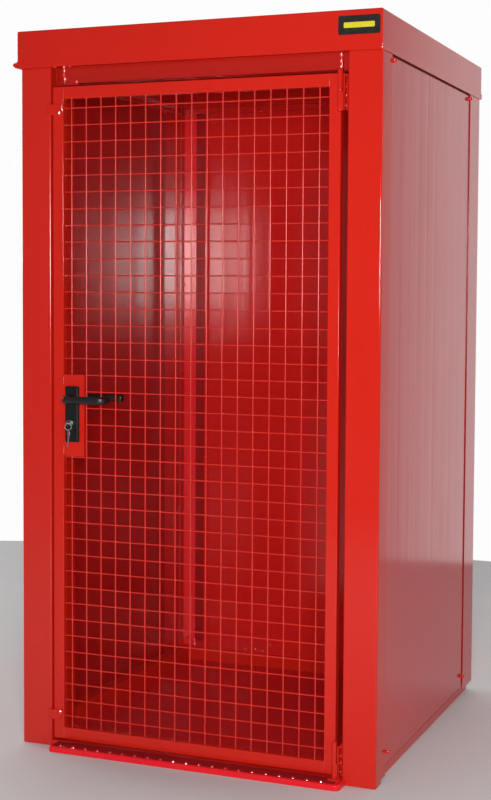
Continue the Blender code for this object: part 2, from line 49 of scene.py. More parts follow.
# ------------------------------------------------------------------ sizes, as in the CAD part
GAP = 0.0003
BODY_HALF, POST_W, POST_SIDE, POST_INNER, POST_BACK = 0.571, 0.101, 0.089, 0.153, 0.024
POST_T, POST_R = 0.003, 0.005
FRONT_Y, REAR_Y, REAR_SIDE, REAR_W = -0.013, 1.122, 0.134, 0.110
POST_TOP, NOTCH_Z = 2.150, 0.013
ROOF_HALF, ROOF_Y1, ROOF_TOP, FASCIA_LOW, ROOF_T = 0.5745, 1.129, 2.176, 2.065, 0.003
LIP_OUT, LIP_Z0, LIP_Z1 = 0.0153, 2.0655, 2.0825
WALL_OUT, WALL_T, RIB_D, RIB_FLAT, RIB_SLOPE, RIB_PITCH, RIB_Y0 = 0.568, 0.0025, 0.001, 0.018, 0.008, 0.0975, 0.170
WALL_LOW, WALL_HIGH = 0.043, 2.150
RAIL_OUT, RAIL_W, RAIL_H, RAIL_REAR, REAR_RAIL_D = 0.557, 0.040, 0.050, 1.102, 0.012
FLOOR_T, SILL_BACK = 0.004, 0.140
SILL_Y, SILL_Z, SILL_X0, SILL_X1 = -0.0705, 0.018, -0.449, 0.480
DOOR_X0, DOOR_X1, DOOR_Z0, DOOR_Z1, DOOR_TUBE, DOOR_RAIL, DOOR_D = -0.4622, 0.4500, 0.0264, 2.0078, 0.035, 0.0365, 0.025
PITCH_X, PITCH_Z, WIRE_X0, WIRE_Z0, N_V, N_H = 0.0493, 0.0500, -0.4044, 1.9445, 17, 38
BOX_X0, BOX_X1, BOX_Z0, BOX_Z1 = DOOR_X0 + DOOR_TUBE, -0.3585, 0.8985, 1.1460
HINGE_X, HINGE_Y, BARREL_R = 0.4505, -0.0220, 0.0074
HT_Z, HB_Z = (1.8996, 1.9589, 2.0183), (0.0215, 0.0687, 0.1290)
CYL_Z, ESC_Z0, ESC_Z1, ESC_T = 1.0010, 0.9420, 1.1110, 0.009
HEAD_Z0, HEAD_Z1, HEAD_Y0, HEAD_Y1 = 2.0185, 2.0850, 0.0030, 0.0430
LEVER_Y = -0.0830

# the lever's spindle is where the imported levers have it
_a, _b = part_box("lever_outer")
_c, _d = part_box("escutcheon_outer")
SPIN_X = (_c.x + _d.x) / 2.0 - OFF.x
SPIN_Z = (_a.z + _b.z) / 2.0
LEVER_LEN = _b.x - OFF.x - SPIN_X


# ------------------------------------------------------------------ node materials
def new_material(name):
    m = bpy.data.materials.new(name)
    m.use_nodes = True
    nt = m.node_tree
    return m, nt, nt.nodes["Principled BSDF"], nt.nodes.new("ShaderNodeTexCoord")


def nz(nt, tc, scale, detail=2.0, rough=0.5, stretch=None):
    n = nt.nodes.new("ShaderNodeTexNoise")
    n.inputs["Scale"].default_value = scale
    n.inputs["Detail"].default_value = detail
    n.inputs["Roughness"].default_value = rough
    if stretch is None:
        nt.links.new(tc.outputs["Object"], n.inputs["Vector"])
    else:
        mp = nt.nodes.new("ShaderNodeMapping")
        mp.inputs["Scale"].default_value = stretch
        nt.links.new(tc.outputs["Object"], mp.inputs["Vector"])
        nt.links.new(mp.outputs["Vector"], n.inputs["Vector"])
    return n.outputs["Fac"]


def rng(nt, value, a, b, c, d):
    n = nt.nodes.new("ShaderNodeMapRange")
    n.inputs["From Min"].default_value = a
    n.inputs["From Max"].default_value = b
    n.inputs["To Min"].default_value = c
    n.inputs["To Max"].default_value = d
    nt.links.new(value, n.inputs["Value"])
    return n.outputs["Result"]


def calc(nt, op, a, b):
    n = nt.nodes.new("ShaderNodeMath")
    n.operation = op
    for i, v in enumerate((a, b)):
        if isinstance(v, (int, float)):
            n.inputs[i].default_value = v
        else:
            nt.links.new(v, n.inputs[i])
    return n.outputs["Value"]


def blend_rgb(nt, fac, a, b):
    n = nt.nodes.new("ShaderNodeMix")
    n.data_type = 'RGBA'
    nt.links.new(fac, n.inputs[0])
    for i, v in ((6, a), (7, b)):
        if isinstance(v, tuple):
            n.inputs[i].default_value = (v[0], v[1], v[2], 1.0)
        else:
            nt.links.new(v, n.inputs[i])
    return n.outputs[2]


def bump(nt, height, strength, distance, normal=None):
    n = nt.nodes.new("ShaderNodeBump")
    n.inputs["Strength"].default_value = strength
    n.inputs["Distance"].default_value = distance
    nt.links.new(height, n.inputs["Height"])
    if normal is not None:
        nt.links.new(normal, n.inputs["Normal"])
    return n.outputs["Normal"]


def powder_coat(name, light, dark, rough=(0.06, 0.10), spec=0.34, peel=0.12, foot=0.06):
    """Glossy powder coat: slight clouding of the tone, orange peel in two sizes, and a breath of
    dust towards the ground."""
    m, nt, b, tc = new_material(name)
    cloud = rng(nt, nz(nt, tc, 2.3, 3.0), 0.32, 0.68, 0.0, 1.0)
    col = blend_rgb(nt, cloud, dark, light)
    fleck = rng(nt, nz(nt, tc, 210.0, 3.0, 0.7), 0.56, 0.76, 0.0, 0.06)
    col = blend_rgb(nt, fleck, col, (light[0] * 0.80, light[1] * 0.9, light[2] * 0.9))
    sep = nt.nodes.new("ShaderNodeSeparateXYZ")
    nt.links.new(tc.outputs["Object"], sep.inputs["Vector"])
    low = rng(nt, sep.outputs["Z"], 0.0, 0.15, 1.0, 0.0)
    dust = calc(nt, 'MULTIPLY', low, rng(nt, nz(nt, tc, 19.0, 5.0, 0.65), 0.40, 0.70, 0.0, foot))
    col = blend_rgb(nt, dust, col, (0.30, 0.085, 0.062))
    nt.links.new(col, b.inputs["Base Color"])
    r = rng(nt, nz(nt, tc, 6.5, 4.0, 0.6), 0.30, 0.70, rough[0], rough[1])
    r = calc(nt, 'ADD', r, calc(nt, 'MULTIPLY', dust, 0.45))
    nt.links.new(r, b.inputs["Roughness"])
    nrm = bump(nt, nz(nt, tc, 75.0, 2.0), peel * 0.30, 0.0007)
    nrm = bump(nt, nz(nt, tc, 420.0, 2.0), peel * 0.55, 0.00018, nrm)
    nt.links.new(nrm, b.inputs["Normal"])
    b.inputs["IOR"].default_value = 1.50
    b.inputs["Specular IOR Level"].default_value = spec
    return m


RED_L, RED_D = (0.640, 0.0160, 0.0075), (0.620, 0.0148, 0.0070)
PAINT = powder_coat("red_coat", RED_L, RED_D)
PAINT_WALL = powder_coat("red_coat_panel", (0.600, 0.0125, 0.0110), (0.578, 0.0116, 0.0102), rough=(0.08, 0.12), spec=0.52, peel=0.12)
# darker copy of the panel coat for the left wall: painted shade on its inside
PAINT_WALL_L_SHADE = powder_coat("red_coat_panel_left_painted_shade", (0.440, 0.0095, 0.0095), (0.420, 0.0088, 0.0088), rough=(0.125, 0.155), spec=0.50, peel=0.12)
# brighter copy of the panel coat for the rear wall: painted light
PAINT_WALL_R_LIT = powder_coat("red_coat_panel_rear_painted_light", (0.690, 0.0150, 0.0130), (0.665, 0.0140, 0.0120), rough=(0.125, 0.155), spec=0.58, peel=0.12)
PAINT_IN = powder_coat("red_coat_inside", (0.640, 0.0145, 0.0115), (0.615, 0.0135, 0.0105), rough=(0.16, 0.22), spec=0.50, peel=0.25)
PAINT_WIRE = powder_coat("red_coat_wire", (0.660, 0.0200, 0.0110), (0.610, 0.0170, 0.0090), rough=(0.18, 0.26), spec=0.55, peel=0.8, foot=0.05)
PAINT_WELD = powder_coat("red_coat_weld", (0.660, 0.0180, 0.0080), (0.600, 0.0150, 0.0070), rough=(0.05, 0.08), spec=0.95, peel=0.3, foot=0.03)
# brighter copy of the red coat for the bolt heads: painted highlight
PAINT_BOLT_LIT = powder_coat("red_coat_bolt_painted_highlight", (0.700, 0.0240, 0.0150), (0.660, 0.0220, 0.0140), rough=(0.10, 0.16), spec=0.60)
# darker copy of the red coat for the recessed header: painted shade under the fascia
PAINT_HEAD_SHADE = powder_coat("red_coat_head_painted_shade", (0.470, 0.0125, 0.0078), (0.450, 0.0118, 0.0072))
PAINT_POST_R = powder_coat("red_coat_rear_post", (0.600, 0.0140, 0.0105), (0.575, 0.0132, 0.0100), rough=(0.135, 0.165), spec=0.50, peel=0.12)
PAINT_TUBE = powder_coat("red_coat_tube", RED_L, RED_D, rough=(0.42, 0.52), spec=0.22)
# darker copy of the red coat for strips that stand for shade: painted shade in gaps and recesses
PAINT_SHADE = powder_coat("red_coat_painted_shade", (0.360, 0.0090, 0.0110), (0.310, 0.0080, 0.0095), rough=(0.26, 0.34), spec=0.25)
# brighter copy of the red coat: painted highlight on the rear posts' flanges
PAINT_FLANGE_LIT = powder_coat("red_coat_flange_painted_highlight", (0.900, 0.0260, 0.0340), (0.860, 0.0230, 0.0300), rough=(0.12, 0.16), spec=0.70, peel=0.3)
PAINT_SHADOW = powder_coat("red_coat_eaves_painted_shadow", (0.150, 0.0055, 0.0060), (0.120, 0.0045, 0.0050), rough=(0.45, 0.55), spec=0.08)
# darker copy of the red coat for the threshold's top: painted shade
PAINT_TREAD_SHADE = powder_coat("red_coat_threshold_top_painted_shade", (0.330, 0.0100, 0.0170), (0.290, 0.0085, 0.0150), rough=(0.34, 0.44), spec=0.25)
PAINT_POST_L = powder_coat("red_coat_post", RED_L, RED_D, rough=(0.12, 0.16), spec=0.50)
# very dark copy of the red coat for painted shade in narrow gaps; no piece uses it
PAINT_DARK_SHADE = powder_coat("red_coat_dark_painted_shade", (0.085, 0.0080, 0.0070), (0.060, 0.0065, 0.0060), rough=(0.40, 0.50), spec=0.20, peel=0.9)
# brighter, pinker copy of the red coat for the threshold: painted highlight on its nose
PAINT_NOSE_LIT = powder_coat("red_coat_threshold_painted_highlight", (0.860, 0.0105, 0.0230), (0.820, 0.0095, 0.0205), rough=(0.22, 0.32), peel=0.5, foot=0.05)


def floor_coat():
    m, nt, b, tc = new_material("floor_coat")
    cloud = rng(nt, nz(nt, tc, 3.1, 4.0), 0.32, 0.68, 0.0, 1.0)
    col = blend_rgb(nt, cloud, (0.680, 0.0160, 0.0205), (0.730, 0.0175, 0.0220))
    # long faint scuffs where bottles are dragged in and out
    scuff = rng(nt, nz(nt, tc, 30.0, 6.0, 0.7, (1.0, 0.12, 1.0)), 0.58, 0.72, 0.0, 0.10)
    col = blend_rgb(nt, scuff, col, (0.68, 0.050, 0.045))
    nt.links.new(col, b.inputs["Base Color"])
    r = rng(nt, nz(nt, tc, 9.0, 5.0, 0.6), 0.30, 0.70, 0.36, 0.46)
    r = calc(nt, 'ADD', r, calc(nt, 'MULTIPLY', scuff, 0.5))
    nt.links.new(r, b.inputs["Roughness"])
    nrm = bump(nt, nz(nt, tc, 60.0, 2.0), 0.10, 0.0008)
    nrm = bump(nt, nz(nt, tc, 380.0, 2.0), 0.15, 0.0002, nrm)
    nt.links.new(nrm, b.inputs["Normal"])
    b.inputs["Specular IOR Level"].default_value = 0.30
    return m


def nylon(name, tone=0.0080, rough=(0.34, 0.44), spec=0.26):
    """Moulded black nylon: fine spark-eroded grain, and a slightly polished tone in places."""
    m, nt, b, tc = new_material(name)
    wear = rng(nt, nz(nt, tc, 55.0, 4.0, 0.6), 0.35, 0.70, 0.0, 1.0)
    nt.links.new(blend_rgb(nt, wear, (tone, tone, tone * 1.08), (tone * 1.5, tone * 1.45, tone * 1.5)),
                 b.inputs["Base Color"])
    b.inputs["Specular IOR Level"].default_value = spec
    nt.links.new(rng(nt, nz(nt, tc, 70.0, 3.0), 0.3, 0.7, rough[0], rough[1]), b.inputs["Roughness"])
    nrm = bump(nt, nz(nt, tc, 2600.0, 2.0), 0.25, 0.00008)
    nrm = bump(nt, nz(nt, tc, 700.0, 1.0), 0.12, 0.00015, nrm)
    nt.links.new(nrm, b.inputs["Normal"])
    return m


def metal(name, light, dark, rough, stretch, scale):
    """Bright metal with turned or drawn marks."""
    m, nt, b, tc = new_material(name)
    line = nz(nt, tc, scale, 3.0, 0.6, stretch)
    nt.links.new(blend_rgb(nt, rng(nt, line, 0.3, 0.7, 0.0, 1.0), dark, light), b.inputs["Base Color"])
    nt.links.new(rng(nt, nz(nt, tc, 240.0, 4.0, 0.6), 0.3, 0.7, rough[0], rough[1]), b.inputs["Roughness"])
    nt.links.new(bump(nt, line, 0.25, 0.0001), b.inputs["Normal"])
    b.inputs["Metallic"].default_value = 1.0
    return m


def enamel(name, light, dark, rough):
    """Smooth enamel on the little sign: slight clouding, fine ripple."""
    m, nt, b, tc = new_material(name)
    nt.links.new(blend_rgb(nt, rng(nt, nz(nt, tc, 60.0, 4.0), 0.35, 0.65, 0.0, 1.0), dark, light), b.inputs["Base Color"])
    nt.links.new(rng(nt, nz(nt, tc, 130.0, 4.0, 0.6), 0.3, 0.7, rough[0], rough[1]), b.inputs["Roughness"])
    nt.links.new(bump(nt, nz(nt, tc, 300.0, 2.0), 0.10, 0.0002), b.inputs["Normal"])
    b.inputs["Coat Weight"].default_value = 0.4
    b.inputs["Coat Roughness"].default_value = 0.06
    return m


FLOOR = floor_coat()
NYLON = nylon("black_nylon_plate")
NYLON_GRIP = nylon("black_nylon_grip", 0.0055, (0.34, 0.42), 0.52)
HOLE = nylon("keyway_dark", 0.004, (0.55, 0.70))
NICKEL = metal("nickel", (0.66, 0.64, 0.60), (0.52, 0.50, 0.47), (0.16, 0.30), (1.0, 14.0, 1.0), 160.0)
KEY_NICKEL = metal("key_nickel", (0.50, 0.49, 0.47), (0.36, 0.35, 0.33), (0.32, 0.46), (1.0, 1.0, 9.0), 220.0)
STEEL = metal("washer_steel", (0.60, 0.57, 0.55), (0.44, 0.42, 0.40), (0.24, 0.40), (1.0, 1.0, 12.0), 200.0)
SIGN_BLACK = enamel("sign_black", (0.016, 0.016, 0.017), (0.010, 0.010, 0.011), (0.20, 0.32))
SIGN_YELLOW = enamel("sign_yellow", (0.78, 0.66, 0.030), (0.72, 0.58, 0.022), (0.26, 0.38))


# ------------------------------------------------------------------ making pieces
def piece(name, bm, mats, body, reps=(), angle=34.0, bevel=0.0, segs=2, flip=True):
    """Turns a bmesh in design coordinates into a piece that rides on a body."""
    bmesh.ops.remove_doubles(bm, verts=bm.verts, dist=1e-7)
    if flip:
        bmesh.ops.recalc_face_normals(bm, faces=bm.faces)
    bmesh.ops.translate(bm, verts=bm.verts, vec=OFF)
    me = bpy.data.meshes.new(name)
    bm.to_mesh(me)
    bm.free()
    ob = bpy.data.objects.new(name, me)
    bpy.context.scene.collection.objects.link(ob)
    me.shade_smooth()
    me.set_sharp_from_angle(angle=math.radians(angle))
    for m in (mats if isinstance(mats, (list, tuple)) else [mats]):
        me.materials.append(m)
    if bevel > 0.0:
        mod = ob.modifiers.new("edges", 'BEVEL')
        mod.width = bevel
        mod.segments = segs
        mod.limit_method = 'ANGLE'
        mod.angle_limit = math.radians(38)
        mod.harden_normals = False
    if angle < 45.0:
        wn = ob.modifiers.new("normals", 'WEIGHTED_NORMAL')
        wn.mode = 'FACE_AREA'
        wn.weight = 50
        wn.keep_sharp = True
    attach(ob, body)
    if reps:
        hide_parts(*reps)
    return ob


def joined(*bms):
    """Several shapes in one bmesh."""
    out = bmesh.new()
    for b in bms:
        tmp = bpy.data.meshes.new("tmp")
        bmesh.ops.recalc_face_normals(b, faces=b.faces)
        b.to_mesh(tmp)
        b.free()
        out.from_mesh(tmp)
        bpy.data.meshes.remove(tmp)
    return out


def tint(bm, index):
    for f in bm.faces:
        f.material_index = index
    return bm


def slab(x0, x1, y0, y1, z0, z1, r=0.0, segs=3):
    """A block with rounded edges."""
    bm = bmesh.new()
    bmesh.ops.create_cube(bm, size=1.0)
    for v in bm.verts:
        v.co = Vector((x0 if v.co.x < 0 else x1, y0 if v.co.y < 0 else y1, z0 if v.co.z < 0 else z1))
    if r > 0:
        bmesh.ops.bevel(bm, geom=list(bm.edges), offset=r, segments=segs, profile=0.5, affect='EDGES')
    return bm


def place(p, a, axis):
    if axis == 'Z':
        return (p[0], p[1], a)
    if axis == 'Y':
        return (p[0], a, p[1])
    return (a, p[0], p[1])


def prism(pts, axis, stations, shape=None):
    """Extrudes a closed outline along an axis through the stations. shape(i, a) may give another
    outline at a station."""
    bm = bmesh.new()
    rings = []
    for a in stations:
        ring = pts if shape is None else shape(a)
        rings.append([bm.verts.new(place(p, a, axis)) for p in ring])
    n = len(pts)
    for lo, hi in zip(rings[:-1], rings[1:]):
        for i in range(n):
            j = (i + 1) % n
            bm.faces.new([lo[i], lo[j], hi[j], hi[i]])
    bm.faces.new(list(reversed(rings[0])))
    bm.faces.new(rings[-1])
    return bm


def arc(cx, cy, r, a0, a1, n):
    return [(cx + r * math.cos(math.radians(a0 + (a1 - a0) * i / n)),
             cy + r * math.sin(math.radians(a0 + (a1 - a0) * i / n))) for i in range(n + 1)]


def folded(line, t, radii, n=7):
    """Outline of a sheet of thickness t folded along an open line; radii are those of the middle
    of the sheet at each inner point."""
    pts = [Vector(p) for p in line]
    mid = []

    def left(d):
        return Vector((-d.y, d.x))

    d0 = (pts[1] - pts[0]).normalized()
    mid.append((pts[0], left(d0)))
    for i in range(1, len(pts) - 1):
        r = radii[i - 1] if isinstance(radii, (list, tuple)) else radii
        a = (pts[i] - pts[i - 1]).normalized()
        b = (pts[i + 1] - pts[i]).normalized()
        turn = math.atan2(a.x * b.y - a.y * b.x, a.dot(b))
        if abs(turn) < 1e-4:
            mid.append((pts[i], left(a)))
            continue
        s = 1.0 if turn > 0 else -1.0
        tl = r * math.tan(abs(turn) / 2.0)
        start = pts[i] - a * tl
        centre = start + left(a) * s * r
        for k in range(n + 1):
            rot = Matrix.Rotation(turn * k / n, 2)
            mid.append((centre + rot @ (start - centre), rot @ left(a)))
    dn = (pts[-1] - pts[-2]).normalized()
    mid.append((pts[-1], left(dn)))
    out = [tuple(p + q * (t / 2.0)) for p, q in mid]
    out += [tuple(p - q * (t / 2.0)) for p, q in reversed(mid)]
    return out


def lathe(profile, centre, axis, n=28):
    """Turns a profile [(radius, distance along the axis)] round an axis through centre."""
    axis = Vector(axis).normalized()
    u = axis.orthogonal().normalized()
    w = axis.cross(u)
    c = Vector(centre)
    bm = bmesh.new()
    rings = []
    for r, a in profile:
        if r < 1e-7:
            rings.append([bm.verts.new(c + axis * a)])
        else:
            rings.append([bm.verts.new(c + axis * a + (u * math.cos(2 * math.pi * k / n) + w * math.sin(2 * math.pi * k / n)) * r)
                          for k in range(n)])
    for p, q in zip(rings[:-1], rings[1:]):
        for k in range(n):
            j = (k + 1) % n
            if len(p) == 1 and len(q) > 1:
                bm.faces.new([p[0], q[j], q[k]])
            elif len(q) == 1 and len(p) > 1:
                bm.faces.new([p[k], p[j], q[0]])
            elif len(p) > 1:
                bm.faces.new([p[k], p[j], q[j], q[k]])
    if len(rings[0]) > 1:
        bm.faces.new(list(reversed(rings[0])))
    if len(rings[-1]) > 1:
        bm.faces.new(rings[-1])
    return bm


def sweep(points, sizes, n=12, up=(0, 0, 1), closed=False, power=2.0):
    """A solid along a line of points. sizes gives, at each point, the half-size along up and the
    half-size across it. power > 2 squares the section."""
    bm = bmesh.new()
    P = [Vector(p) for p in points]
    up = Vector(up).normalized()
    m = len(P)
    rings = []
    for i in range(m):
        if closed:
            t = (P[(i + 1) % m] - P[(i - 1) % m]).normalized()
        else:
            t = (P[min(i + 1, m - 1)] - P[max(i - 1, 0)]).normalized()
        side = t.cross(up)
        if side.length < 1e-6:
            side = t.orthogonal()
        side.normalize()
        top = side.cross(t).normalized()
        h, w = sizes[i] if isinstance(sizes, list) else sizes
        ring = []
        for k in range(n):
            a = 2 * math.pi * k / n
            ca, sa = math.cos(a), math.sin(a)
            e = 2.0 / power
            x = math.copysign(abs(ca) ** e, ca) * w
            y = math.copysign(abs(sa) ** e, sa) * h
            ring.append(bm.verts.new(P[i] + side * x + top * y))
        rings.append(ring)
    pairs = list(zip(rings[:-1], rings[1:]))
    if closed:
        pairs.append((rings[-1], rings[0]))
    for p, q in pairs:
        for k in range(n):
            j = (k + 1) % n
            bm.faces.new([p[k], p[j], q[j], q[k]])
    if not closed:
        bm.faces.new(list(reversed(rings[0])))
        bm.faces.new(rings[-1])
    return bm


def bead(a, b, r, seed, step=0.0022, flat=0.75, up=(0, 0, 1)):
    """A hand-laid weld bead from a to b, rippled, swelling a little and tapering at its ends."""
    rnd = random.Random(seed)
    a, b = Vector(a), Vector(b)
    n = max(5, int((b - a).length / step))
    pts, sizes = [], []
    ph = rnd.random() * 6
    for i in range(n + 1):
        t = i / n
        end = min(1.0, 6.0 * t + 0.25, 6.0 * (1 - t) + 0.25)
        k = end * (1.0 + 0.16 * math.sin(i * 1.9 + ph) + 0.10 * rnd.uniform(-1, 1))
        wob = Vector((rnd.uniform(-1, 1), rnd.uniform(-1, 1), rnd.uniform(-1, 1))) * r * 0.10
        pts.append(a.lerp(b, t) + wob)
        sizes.append((r * k * flat, r * k))
    return sweep(pts, sizes, 10, up)


def blob(c, r, squash=(1, 1, 1), seed=0, rough=0.08):
    """A small lump of weld or paint."""
    bm = bmesh.new()
    bmesh.ops.create_icosphere(bm, subdivisions=2, radius=1.0)
    rnd = Vector((seed * 3.7, seed * 1.3, seed * 7.1))
    for v in bm.verts:
        k = 1.0 + rough * noise.noise(v.co * 1.7 + rnd)
        v.co = Vector(c) + Vector((v.co.x * squash[0], v.co.y * squash[1], v.co.z * squash[2])) * r * k
    return bm


FRONT_RIGHT = Vector((1.77, -3.89, 1.51))


def lens(c, a, b, normal=None, seed=0, long_z=1.0):
    """A flattish, smooth lump of weld. Unless told otherwise it faces the picture's viewpoint,
    so that it catches the front light there. That is chosen for the picture, not measured."""
    n = (FRONT_RIGHT - Vector(c)).normalized() if normal is None else Vector(normal).normalized()
    u = (Vector((0, 0, 1)) - n * n.z).normalized()
    w = n.cross(u)
    bm = bmesh.new()
    bmesh.ops.create_icosphere(bm, subdivisions=3, radius=1.0)
    rnd = Vector((seed * 2.7, seed * 5.3, seed * 1.9))
    for v in bm.verts:
        k = 1.0 + 0.05 * noise.noise(v.co * 1.2 + rnd)
        v.co = Vector(c) + (w * v.co.x * a + u * v.co.y * a * long_z + n * v.co.z * b) * k
    return bm


def cut_with(ob_bm, cutter):
    """Takes one shape away from another, exactly."""
    obs = []
    for i, b in enumerate((ob_bm, cutter)):
        bmesh.ops.recalc_face_normals(b, faces=b.faces)
        me = bpy.data.meshes.new("tmp")
        b.to_mesh(me)
        b.free()
        o = bpy.data.objects.new("tmp_%d" % i, me)
        bpy.context.scene.collection.objects.link(o)
        obs.append(o)
    mod = obs[0].modifiers.new("cut", 'BOOLEAN')
    mod.operation = 'DIFFERENCE'
    mod.solver = 'EXACT'
    mod.object = obs[1]
    bpy.context.view_layer.update()
    dg = bpy.context.evaluated_depsgraph_get()
    me = bpy.data.meshes.new_from_object(obs[0].evaluated_get(dg))
    out = bmesh.new()
    out.from_mesh(me)
    for o in obs:
        d = o.data
        bpy.data.objects.remove(o, do_unlink=True)
        bpy.data.meshes.remove(d)
    bpy.data.meshes.remove(me)
    return out


def spread(a, b, n):
    return [a + (b - a) * i / n for i in range(n + 1)]


# ------------------------------------------------------------------ base frame, floor, threshold
WALL_START, WALL_END = FRONT_Y + POST_SIDE + 0.0006, REAR_Y - REAR_SIDE - 0.0006
for side, name in ((-1, "left"), (1, "right")):
    xs = sorted((side * RAIL_OUT, side * (RAIL_OUT - RAIL_W)))
    piece("base_tube_" + name, slab(xs[0], xs[1], POST_SIDE + FRONT_Y + 0.001, RAIL_REAR, 0.0, RAIL_H, 0.004, 4),
          PAINT_TUBE if side < 0 else PAINT, "cabin", ["base_rail_" + name])
    xs = sorted((side * (RAIL_OUT + 0.0001), side * (RAIL_OUT + 0.0007)))
    piece("base_shadow_strip_" + name, slab(xs[0], xs[1], WALL_START, WALL_END, 0.0285, 0.0425, 0.0001, 1),
          PAINT_SHADE, "cabin")
piece("base_bar_rear", slab(-RAIL_OUT + RAIL_W + GAP, RAIL_OUT - RAIL_W - GAP, RAIL_REAR - REAR_RAIL_D, RAIL_REAR,
                            0.0, RAIL_H, 0.0015, 2), PAINT, "cabin", ["base_rail_rear"])
IN_POST = BODY_HALF - POST_W
piece("base_bar_front", slab(-IN_POST + GAP, IN_POST - GAP, FRONT_Y, SILL_BACK, 0.0, SILL_Z, 0.0018, 3),
      PAINT, "cabin", ["base_rail_front"])

piece("floor_sheet", slab(-RAIL_OUT + RAIL_W + GAP, RAIL_OUT - RAIL_W - GAP, SILL_BACK + GAP,
                          RAIL_REAR - REAR_RAIL_D - GAP, 0.0, FLOOR_T, 0.0008, 2),
      FLOOR, "cabin", ["floor_plate"])

# threshold: plan with rounded front corners, rounded nose, one row of pressed dimples
RN, RL, RR = 0.0058, 0.006, 0.016
plan = [(SILL_X0, FRONT_Y - GAP)] + arc(SILL_X0 + RL, SILL_Y + RL, RL, 180, 270, 6)
plan += arc(SILL_X1 - RR, SILL_Y + RR, RR, 270, 360, 9) + [(SILL_X1, FRONT_Y - GAP)]
bm = bmesh.new()
levels = [(0.0, 0.0010), (0.0010, 0.0)] + [(SILL_Z - RN + RN * math.sin(math.radians(a)), RN * (1 - math.cos(math.radians(a))))
                                          for a in (0, 18, 36, 54, 72, 90)]


def inset_plan(d):
    out = [(SILL_X0 + d, FRONT_Y - GAP)] + arc(SILL_X0 + RL, SILL_Y + RL, max(RL - d, 1e-4), 180, 270, 6)
    out += arc(SILL_X1 - RR, SILL_Y + RR, max(RR - d, 1e-4), 270, 360, 9) + [(SILL_X1 - d, FRONT_Y - GAP)]
    return out


rings = [[bm.verts.new((x, y, z)) for (x, y) in inset_plan(d)] for z, d in levels]
for p, q in zip(rings[:-1], rings[1:]):
    for k in range(len(p)):
        j = (k + 1) % len(p)
        bm.faces.new([p[k], p[j], q[j], q[k]])
bm.faces.new(list(reversed(rings[0])))
bm.faces.new(rings[-1])
# the whole threshold is in a brighter copy of the red coat: painted highlight on its nose
sill = piece("threshold_tread", bm, PAINT_NOSE_LIT, "cabin", ["threshold"])

# a thin darker plate over the top: painted shade on the threshold towards the door
piece("threshold_top", slab(SILL_X0 + 0.0062, SILL_X1 - 0.0160, SILL_Y + 0.0066, FRONT_Y - 0.0010, SILL_Z - 0.0002, SILL_Z + 0.0003, 0.0001, 1),
      PAINT_TREAD_SHADE, "cabin")
dimples = []
x = 0.3408
while x > SILL_X0 + 0.02:
    x -= 0.0418
x += 0.0418
while x < SILL_X1 - 0.015:
    dimples.append(lens((x, SILL_Y + 0.0084, SILL_Z + 0.0008), 0.0050, 0.0014, seed=int(x * 500) + 900, long_z=0.9))
    x += 0.0418
piece("threshold_dimples", joined(*dimples), PAINT_WELD, "cabin")

# ------------------------------------------------------------------ posts
t = POST_T
xo, xi, ye = -BODY_HALF + t / 2, -BODY_HALF + POST_W - t / 2, FRONT_Y + POST_INNER - t / 2
line = [(xo, FRONT_Y + POST_SIDE), (xo, FRONT_Y + t / 2), (xi, FRONT_Y + t / 2), (xi, ye), (xi + t / 2 - POST_BACK, ye)]
left_plan = folded(line, t, POST_R - t / 2)
ST = [0.0, 0.004] + spread(0.06, POST_TOP - 0.05, 12) + [POST_TOP]
for name, side in (("left", -1), ("right", 1)):
    pl = left_plan if side < 0 else [(-p[0], p[1]) for p in reversed(left_plan)]
    xs = sorted((side * (BODY_HALF + 0.010), side * (BODY_HALF - POST_T - 0.0009)))
    notch = slab(xs[0], xs[1], FRONT_Y + 0.050, FRONT_Y + POST_SIDE + 0.010, -0.010, NOTCH_Z)
    bm = cut_with(prism(pl, 'Z', [0.0, POST_TOP]), notch)
    piece("corner_post_front_" + name, bm, PAINT_POST_L if side < 0 else PAINT, "cabin", ["front_post_" + name], bevel=0.0012)

rear_line = [(-BODY_HALF + t / 2, REAR_Y - REAR_SIDE), (-BODY_HALF + t / 2, REAR_Y - t / 2),
             (-BODY_HALF + REAR_W, REAR_Y - t / 2)]
rear_plan = folded(rear_line, t, POST_R - t / 2)
piece("corner_post_rear_left", prism(rear_plan, 'Z', [0.030, POST_TOP]), PAINT_POST_R, "cabin", ["rear_post_left"], bevel=0.0006)
piece("corner_post_rear_right", prism([(-p[0], p[1]) for p in reversed(rear_plan)], 'Z', [0.030, POST_TOP]),
      PAINT_WALL, "cabin", ["rear_post_right"], bevel=0.0006)
# darker strips over the rear posts' front edges: painted shade
edges = []
for s in (-1, 1):
    xs = sorted((s * (WALL_OUT + 0.0002), s * (BODY_HALF + 0.0001)))
    edges.append(slab(xs[0], xs[1], REAR_Y - REAR_SIDE - 0.00055, REAR_Y - REAR_SIDE - 0.0001, 0.050, 2.070, 0.0001, 1))
piece("rear_post_edge_painted_shade", joined(*edges), PAINT_SHADE, "cabin")
# dark strips in the rear corners, a darker copy of the red coat: painted shade in the gaps between post and panel
seams = []
for s in (-1, 1):
    for x0, x1, y in ((0.5525, 0.5600, REAR_Y - t - 0.0005), (0.4660, 0.5005, REAR_Y - t - 0.0005)):
        xs = sorted((s * x0, s * x1))
        seams.append(slab(xs[0], xs[1], y, y + 0.0004, 0.070, 2.070, 0.0001, 1))
piece("rear_corner_painted_shade_lines", joined(*seams), PAINT_SHADE, "cabin")
